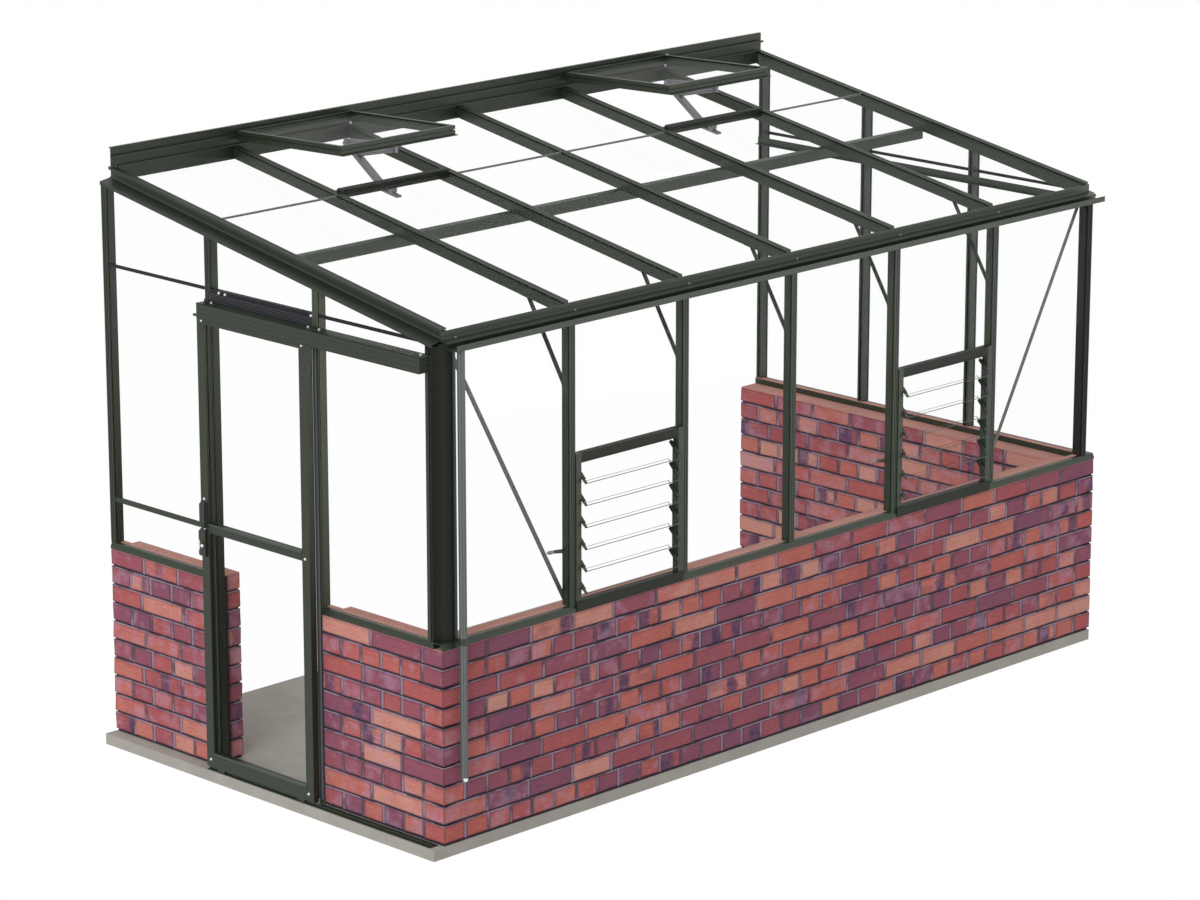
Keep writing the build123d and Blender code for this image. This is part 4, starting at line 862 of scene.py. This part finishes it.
# Label, finish, body, slot, chamfer, low and high corners of each box
bars = (
    # The track's end cap takes the posts' painted shade, so that it merges with the post.
    ("track_end_cap", post_shade_green, HOUSE, "frame_paint", 0.0005, [
        ((track_low.x + TRACK_WALL, track_front, track_low.z),
         (track_high.x - TRACK_WALL, track_front + SEAL, track_high.z - TRACK_WALL)),
    ]),
    ("track_stop", frame_green, HOUSE, "frame_paint", 0.0005, [
        ((track_middle - STOP_WIDE, STOP_ENDS[0], track_high.z),
         (track_middle, STOP_ENDS[1], track_high.z + STOP_TALL)),
    ]),
    ("track_ribs", frame_green, HOUSE, "frame_paint", 0.0004, [
        track_rib(rise) for rise in (*TRACK_RIBS, track_high.z - track_low.z - TOP_RIB_DROP)
    ]),
    ("head_ribs", seal_grey, HOUSE, "frame_paint", 0.0003, [
        ((head_low.x - SEAL, head_low.y, height), (head_low.x, head_high.y, height + RIB_TALL))
        for height in np.linspace(head_low.z + HEAD_RIB_RISE, head_high.z - HEAD_RIB_DROP, HEAD_RIBS)
    ]),
    # A brush seal on the front jamb, and black strips on both jambs as painted shade of the gaps beside the
    # door.
    ("door_brush_and_gap_shade", fitting_black, HOUSE, "dark_fittings", 0.0003, [
        jamb_strip(BRUSH_PROUD, jamb_front, FRONT_BRUSH),
        jamb_strip(SEAL, jamb_front, FRONT_GAP_SHADE),
        jamb_strip(SEAL, jamb_rear, REAR_GAP_SHADE),
    ]),
    # Seal strips on the jambs in the lighter seal colour, painted light against the door's shade.
    ("jamb_seals_painted_light", seal_lit_grey, HOUSE, "dark_fittings", 0.0003, [
        jamb_strip(SEAL, jamb_front, FRONT_SEAL),
        jamb_strip(SEAL, jamb_rear, REAR_SEAL),
    ]),
    # Black strips across the door's rails: painted shade of their grooves.
    ("leaf_groove_shade", fitting_black, DOOR, "dark_fittings", 0.0002, [
        leaf_strip(GROOVE_PROUD, height, GROOVE_TALL) for height in GROOVES
    ]),
    # The door's beads in the lighter paint: a painted highlight along them.
    ("leaf_beads", lit_bead_green, DOOR, "frame_paint", 0.0024, [
        leaf_strip(BEAD_PROUD, height, BEAD_TALL) for height in BEADS
    ]),
    ("handle_cover", frame_green, DOOR, "frame_paint", 0.0012, [
        leaf_plate(HANDLE_PROUD, 0.0, HANDLE_COVER),
        leaf_plate(LOCK_PROUD, 0.0, LOCK_COVER),
    ]),
    ("lock_plate", zinc, DOOR, "dark_fittings", 0.0005, [
        leaf_plate(PLATE_PROUD, LOCK_PROUD, LOCK_PLATE),
    ]),
    ("post_flanges", frame_green, HOUSE, "frame_paint", 0.0003, [
        ((post_low.x - FLANGE_PROUD, post_rear - SIDE_FLANGE, sill_top),
         (post_low.x, post_rear, POST_HEAD)),
        ((post_right - FRONT_FLANGE, post_low.y - FLANGE_PROUD, sill_top),
         (post_right, post_low.y, POST_HEAD)),
    ]),
    ("rafter_plugs", fitting_black, HOUSE, "dark_fittings", 0.0006, [
        ((place - PLUG_HALF, rafter_foot - PLUG_PROUD, EAVES - PLUG_DROPS[0]),
         (place + PLUG_HALF, rafter_foot, EAVES - PLUG_DROPS[1]))
        for place in bars_x
    ]),
    ("neck_clips", zinc, HOUSE, "opener_metal", 0.0004, [
        ((place + NECK_SIDES[0], rafter_foot - NECK_AHEAD[0], NECK_HEIGHTS[0]),
         (place + NECK_SIDES[1], rafter_foot - NECK_AHEAD[1], NECK_HEIGHTS[1]))
        for place in (bars_x[0] - bay, *bars_x)
    ]),
    ("sill_haunches", wall_head, HOUSE, "brick", 0.0006, [
        sill_haunch((post_right, front_low.y + HAUNCH), (-post_right, sill_high.y)),
        sill_haunch((front_high.x - sill_deep, post_rear), (front_high.x - HAUNCH, right_high.y)),
        sill_haunch((front_low.x + HAUNCH, post_rear), (front_low.x + sill_deep, porch_high.y)),
        sill_haunch((front_low.x + HAUNCH, rear_low.y), (front_low.x + sill_deep, rear_high.y)),
    ]),
)
for label, finish, body, slot, chamfer, corners in bars:
    corners = np.array(corners)
    points, faces = blocks(corners[:, 0], corners[:, 1], chamfer)
    add_piece(label, points, faces, finish, body, slot)

# Louvre windows: frame rails that lap over the sill, blade trims and handles
LOUVRE_BAYS = (0, 3)
FRAME_EDGE = 0.0153
LOUVRE_STILE = 0.028
TOP_RAIL = 0.038
BOTTOM_RISE = 0.016
LAP_THICK = 0.003
LAP_GAP = 0.001
LIP_TALL = 0.006
RAIL_CHAMFER = 0.0005
rail_low, rail_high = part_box("louvre_rails")
lip_foot = rail_high.z - TOP_RAIL
bottom_top = sill_top + BOTTOM_RISE
louvre_spans = [(bars_x[left] + FRAME_EDGE, bars_x[left + 1] - FRAME_EDGE) for left in LOUVRE_BAYS]
rail_boxes = []
for start, stop in louvre_spans:
    near, far = start + LOUVRE_STILE, stop - LOUVRE_STILE
    rail_boxes += [
        ((near, rail_low.y, lip_foot), (far, rail_high.y, rail_high.z)),
        ((near, rail_low.y, sill_top), (far, rail_high.y, bottom_top)),
        ((start, rail_low.y - LAP_THICK, wall_top + LAP_GAP), (stop, rail_low.y, bottom_top)),
        ((near, rail_low.y - SEAL, lip_foot), (far, rail_low.y, lip_foot + LIP_TALL)),
    ]
rail_boxes = np.array(rail_boxes)
points, faces = blocks(rail_boxes[:, 0], rail_boxes[:, 1], RAIL_CHAMFER)
louvre_rails = add_piece("louvre_frame_rails", points, faces, louvre_green, HOUSE, "frame_paint")
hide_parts("louvre_rails")

# Half the width of a blade at 45 degrees, as its rise and as its reach
BLADE_HALF = 0.05 / 2.0 ** 0.5
BLADE_INSET = 0.037
BLADE_COUNT = 6
TRIM_RADIUS = 0.0015
TRIM_INSET = 0.008
CLIP_RADIUS = 0.0055
CLIP_INSET = 0.006
SLIM_SIDES = 6
blade_low, blade_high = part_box("louvre_blades")
blade_heights = np.linspace(blade_low.z + BLADE_INSET, blade_high.z - BLADE_INSET, BLADE_COUNT)
blade_axis = (rail_low.y + rail_high.y) / 2
edge_y = blade_axis - BLADE_HALF
trims, clips = [], []
for start, stop in louvre_spans:
    near, far = start + LOUVRE_STILE, stop - LOUVRE_STILE
    for height in blade_heights:
        edge_z = height - BLADE_HALF
        edge = ((near + TRIM_INSET, edge_y, edge_z), (far - TRIM_INSET, edge_y, edge_z))
        trims.append(tube(edge, (TRIM_RADIUS, TRIM_RADIUS), SLIM_SIDES))
        for place in (near + CLIP_INSET, far - CLIP_INSET):
            ends = ((place, blade_axis, height), (place, edge_y, edge_z))
            clips.append(tube(ends, (CLIP_RADIUS, CLIP_RADIUS), SLIM_SIDES))
add_piece("blade_trims", *join(trims), trim_grey, HOUSE, "dark_fittings")
add_piece("blade_clips", *join(clips), fitting_black, HOUSE, "dark_fittings")

HANDLE_HEIGHT = 1.062
ARM_PATH = ((0.034, 0.034, -0.012), (0.022, 0.044, -0.011), (0.008, 0.051, -0.010), (-0.020, 0.053, -0.007),
            (-0.050, 0.053, -0.003), (-0.060, 0.053, -0.002))
ARM_RADII = (0.0085, 0.0085, 0.0085, 0.008, 0.007, 0.0045)
TIP_PATH = ((-0.056, 0.053, -0.003), (-0.062, 0.053, -0.002), (-0.080, 0.053, -0.001), (-0.086, 0.053, 0.0))
TIP_RADII = (0.004, 0.007, 0.0075, 0.005)
handle_places = [(bar, front_low.y, HANDLE_HEIGHT) for bar in bars_x[list(LOUVRE_BAYS)]]
arms, tips = (
    join([tube(np.array(route) + place, radii) for place in handle_places])
    for route, radii in ((ARM_PATH, ARM_RADII), (TIP_PATH, TIP_RADII))
)
add_piece("louvre_handle_tips", *tips, lever_grey, HOUSE, "dark_fittings")
handles = add_piece("louvre_handles", *arms, lever_dark, HOUSE, "dark_fittings")
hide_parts("louvre_levers")

# Downpipe: band at the sill and a lip at its lower end in white, a painted highlight
BAND = ((0.0160, 0.0), (0.0185, 0.001), (0.0185, 0.024), (0.0160, 0.025))
BAND_HEIGHT = 0.833
BAND_SIDES = 24
STEM_HALF = 0.006
STEM_START = 0.012
STEM_HEIGHTS = (0.838, 0.852)
STEM_CHAMFER = 0.0005
LIP = ((0.0085, 0.0), (0.0085, 0.0015), (0.0070, 0.0020))
LIP_PLACE = (-0.0062, -0.0128, 0.306)
LIP_FACING = (-0.42, -0.86, 0.28)
LIP_SIDES = 16
pipe_low, pipe_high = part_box("downpipe")
pipe_axis = np.array([(pipe_low.x + pipe_high.x) / 2, (pipe_low.y + pipe_high.y) / 2, 0.0])
band_ring = turned_heads([pipe_axis + (0.0, 0.0, BAND_HEIGHT)], UP, BAND, BAND_SIDES)
stem_low = (pipe_axis[0] - STEM_HALF, pipe_axis[1] + STEM_START, STEM_HEIGHTS[0])
stem = blocks([stem_low], [(pipe_axis[0] + STEM_HALF, front_low.y, STEM_HEIGHTS[1])], STEM_CHAMFER)
band = add_piece("pipe_band", *join([band_ring, stem]), fitting_black, HOUSE, "pipe_plastic")
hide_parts("downpipe_clip")
points, faces = turned_heads([pipe_axis + LIP_PLACE], LIP_FACING, LIP, LIP_SIDES)
add_piece("pipe_lip_highlight", points, faces, pipe_end_highlight, HOUSE, "pipe_plastic")

# Door track: channel of four walls that ends before the corner post
CHANNEL_CHAMFER = 0.0003
track_back = track_high.x - TRACK_WALL
ledge_foot = track_low.z + TRACK_LEDGE_RISE
channel_lows, channel_highs = zip(*(
    ((near_x, track_front, low_z), (far_x, track_high.y, high_z))
    for near_x, far_x, low_z, high_z in (
        (track_low.x, track_low.x + TRACK_WALL, track_low.z, track_high.z),
        (track_low.x, track_high.x, track_high.z - TRACK_WALL, track_high.z),
        (track_back, track_high.x, track_low.z, track_high.z),
        (track_back - TRACK_LEDGE, track_high.x, ledge_foot, ledge_foot + TRACK_WALL),
    )
))
points, faces = blocks(channel_lows, channel_highs, CHANNEL_CHAMFER)
channel = add_piece("door_track_channel", points, faces, frame_green, HOUSE, "frame_paint")
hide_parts("door_top_track")

# Diagonal straps across the first and last bays of the front
STRAP_HEAD_X = 1.839
STRAP_FOOT_X = 1.240
STRAP_HALF = 0.0095
STRAP_CHAMFER = 0.0004
strap_low, strap_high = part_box("diagonal_braces")
straps = []
for side in (-1.0, 1.0):
    head = np.array([side * STRAP_HEAD_X, strap_high.z - STRAP_HALF])
    foot = np.array([side * STRAP_FOOT_X, strap_low.z + STRAP_HALF])
    reach = np.linalg.norm(head - foot)
    along = (head - foot) / reach
    flat_low, flat_high = (0.0, strap_low.y, -STRAP_HALF), (reach, strap_high.y, STRAP_HALF)
    points, faces = blocks([flat_low], [flat_high], STRAP_CHAMFER)
    turned_x = foot[0] + points[:, 0] * along[0] - points[:, 2] * along[1]
    turned_z = foot[1] + points[:, 0] * along[1] + points[:, 2] * along[0]
    straps.append((np.stack([turned_x, points[:, 1], turned_z], 1), faces))
strap_piece = add_piece("diagonal_straps", *join(straps), strap_green, HOUSE, "frame_paint")
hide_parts("diagonal_braces")

# Stage: pale floor, white surroundings, soft light
FLOOR_HALF = 60.0
FLOOR_GLOW = 0.995
FLOOR_GREY = (0.4, 0.4, 0.4, 1.0)
WHITE = (1.0, 1.0, 1.0, 1.0)
WORLD_LIGHT = 0.78
floor_mesh = bpy.data.meshes.new("studio_floor")
floor_corners = [(-FLOOR_HALF, -FLOOR_HALF, 0), (FLOOR_HALF, -FLOOR_HALF, 0)]
floor_corners += [(FLOOR_HALF, FLOOR_HALF, 0), (-FLOOR_HALF, FLOOR_HALF, 0)]
floor_mesh.from_pydata(floor_corners, [], [(0, 1, 2, 3)])
floor = bpy.data.objects.new("studio_floor", floor_mesh)
bpy.context.scene.collection.objects.link(floor)


def seen_rays(stage):
    """1 for camera, mirror and see-through rays, 0 for the rays that light the object."""
    path = stage.node("ShaderNodeLightPath", out="Is Camera Ray")
    rays = path.socket.node.outputs
    mirror = Signal(stage, rays["Is Glossy Ray"])
    through = Signal(stage, rays["Is Transmission Ray"])
    return stage.node("ShaderNodeMath", {"operation": "MINIMUM"}, {0: path + mirror + through, 1: 1.0})


paper = Finish("studio_floor")
glow = paper.node("ShaderNodeEmission", {}, {"Color": WHITE, "Strength": 1.0})
matt = paper.node("ShaderNodeBsdfDiffuse", {}, {"Color": FLOOR_GREY})
floor_mesh.materials.append(
    paper.close(paper.node("ShaderNodeMixShader", {}, {0: FLOOR_GLOW * seen_rays(paper), 1: matt, 2: glow}))
)

world = bpy.data.worlds.new("studio_world")
bpy.context.scene.world = world
sky = Finish("studio_world", world)
sky_light = WORLD_LIGHT + (1.0 - WORLD_LIGHT) * seen_rays(sky)
backdrop = sky.node("ShaderNodeBackground", {}, {"Color": WHITE, "Strength": sky_light})
sky.node("ShaderNodeOutputWorld", {}, {"Surface": backdrop})

sun = bpy.data.lights.new("key_light", "SUN")
sun.energy = 1.7
sun.angle = radians(35.0)
sun.color = (0.96, 0.98, 1.0)
key_light = bpy.data.objects.new("key_light", sun)
key_light.rotation_euler = (radians(65.0), 0.0, radians(-67.0))
bpy.context.scene.collection.objects.link(key_light)

# Reflector card that the glossy front faces mirror
CARD_SIZE = (7.0, 2.2)
CARD_GLOW = 2.2
card = bpy.data.lights.new("reflector_card", "AREA")
card.shape = "RECTANGLE"
card.size, card.size_y = CARD_SIZE
card.energy = CARD_GLOW * pi * CARD_SIZE[0] * CARD_SIZE[1]
reflector = bpy.data.objects.new("reflector_card", card)
reflector.location = (3.2, -5.5, 1.1)
reflector.rotation_euler = (radians(90.0), 0.0, radians(14.0))
reflector.visible_camera = False
reflector.visible_diffuse = False
bpy.context.scene.collection.objects.link(reflector)

# Camera at the photograph's place
LENS = 132.17
camera_data = bpy.data.cameras.new("photo_camera")
camera_data.sensor_width = 36.0
camera_data.lens = LENS
camera_data.clip_end = 200.0
camera = bpy.data.objects.new("photo_camera", camera_data)
camera.location = (-12.5907, -12.3814, 5.8038)
camera.rotation_euler = (radians(74.90), 0.0, radians(-45.21))
bpy.context.scene.collection.objects.link(camera)
bpy.context.scene.camera = camera
bpy.context.scene.view_settings.view_transform = "Standard"
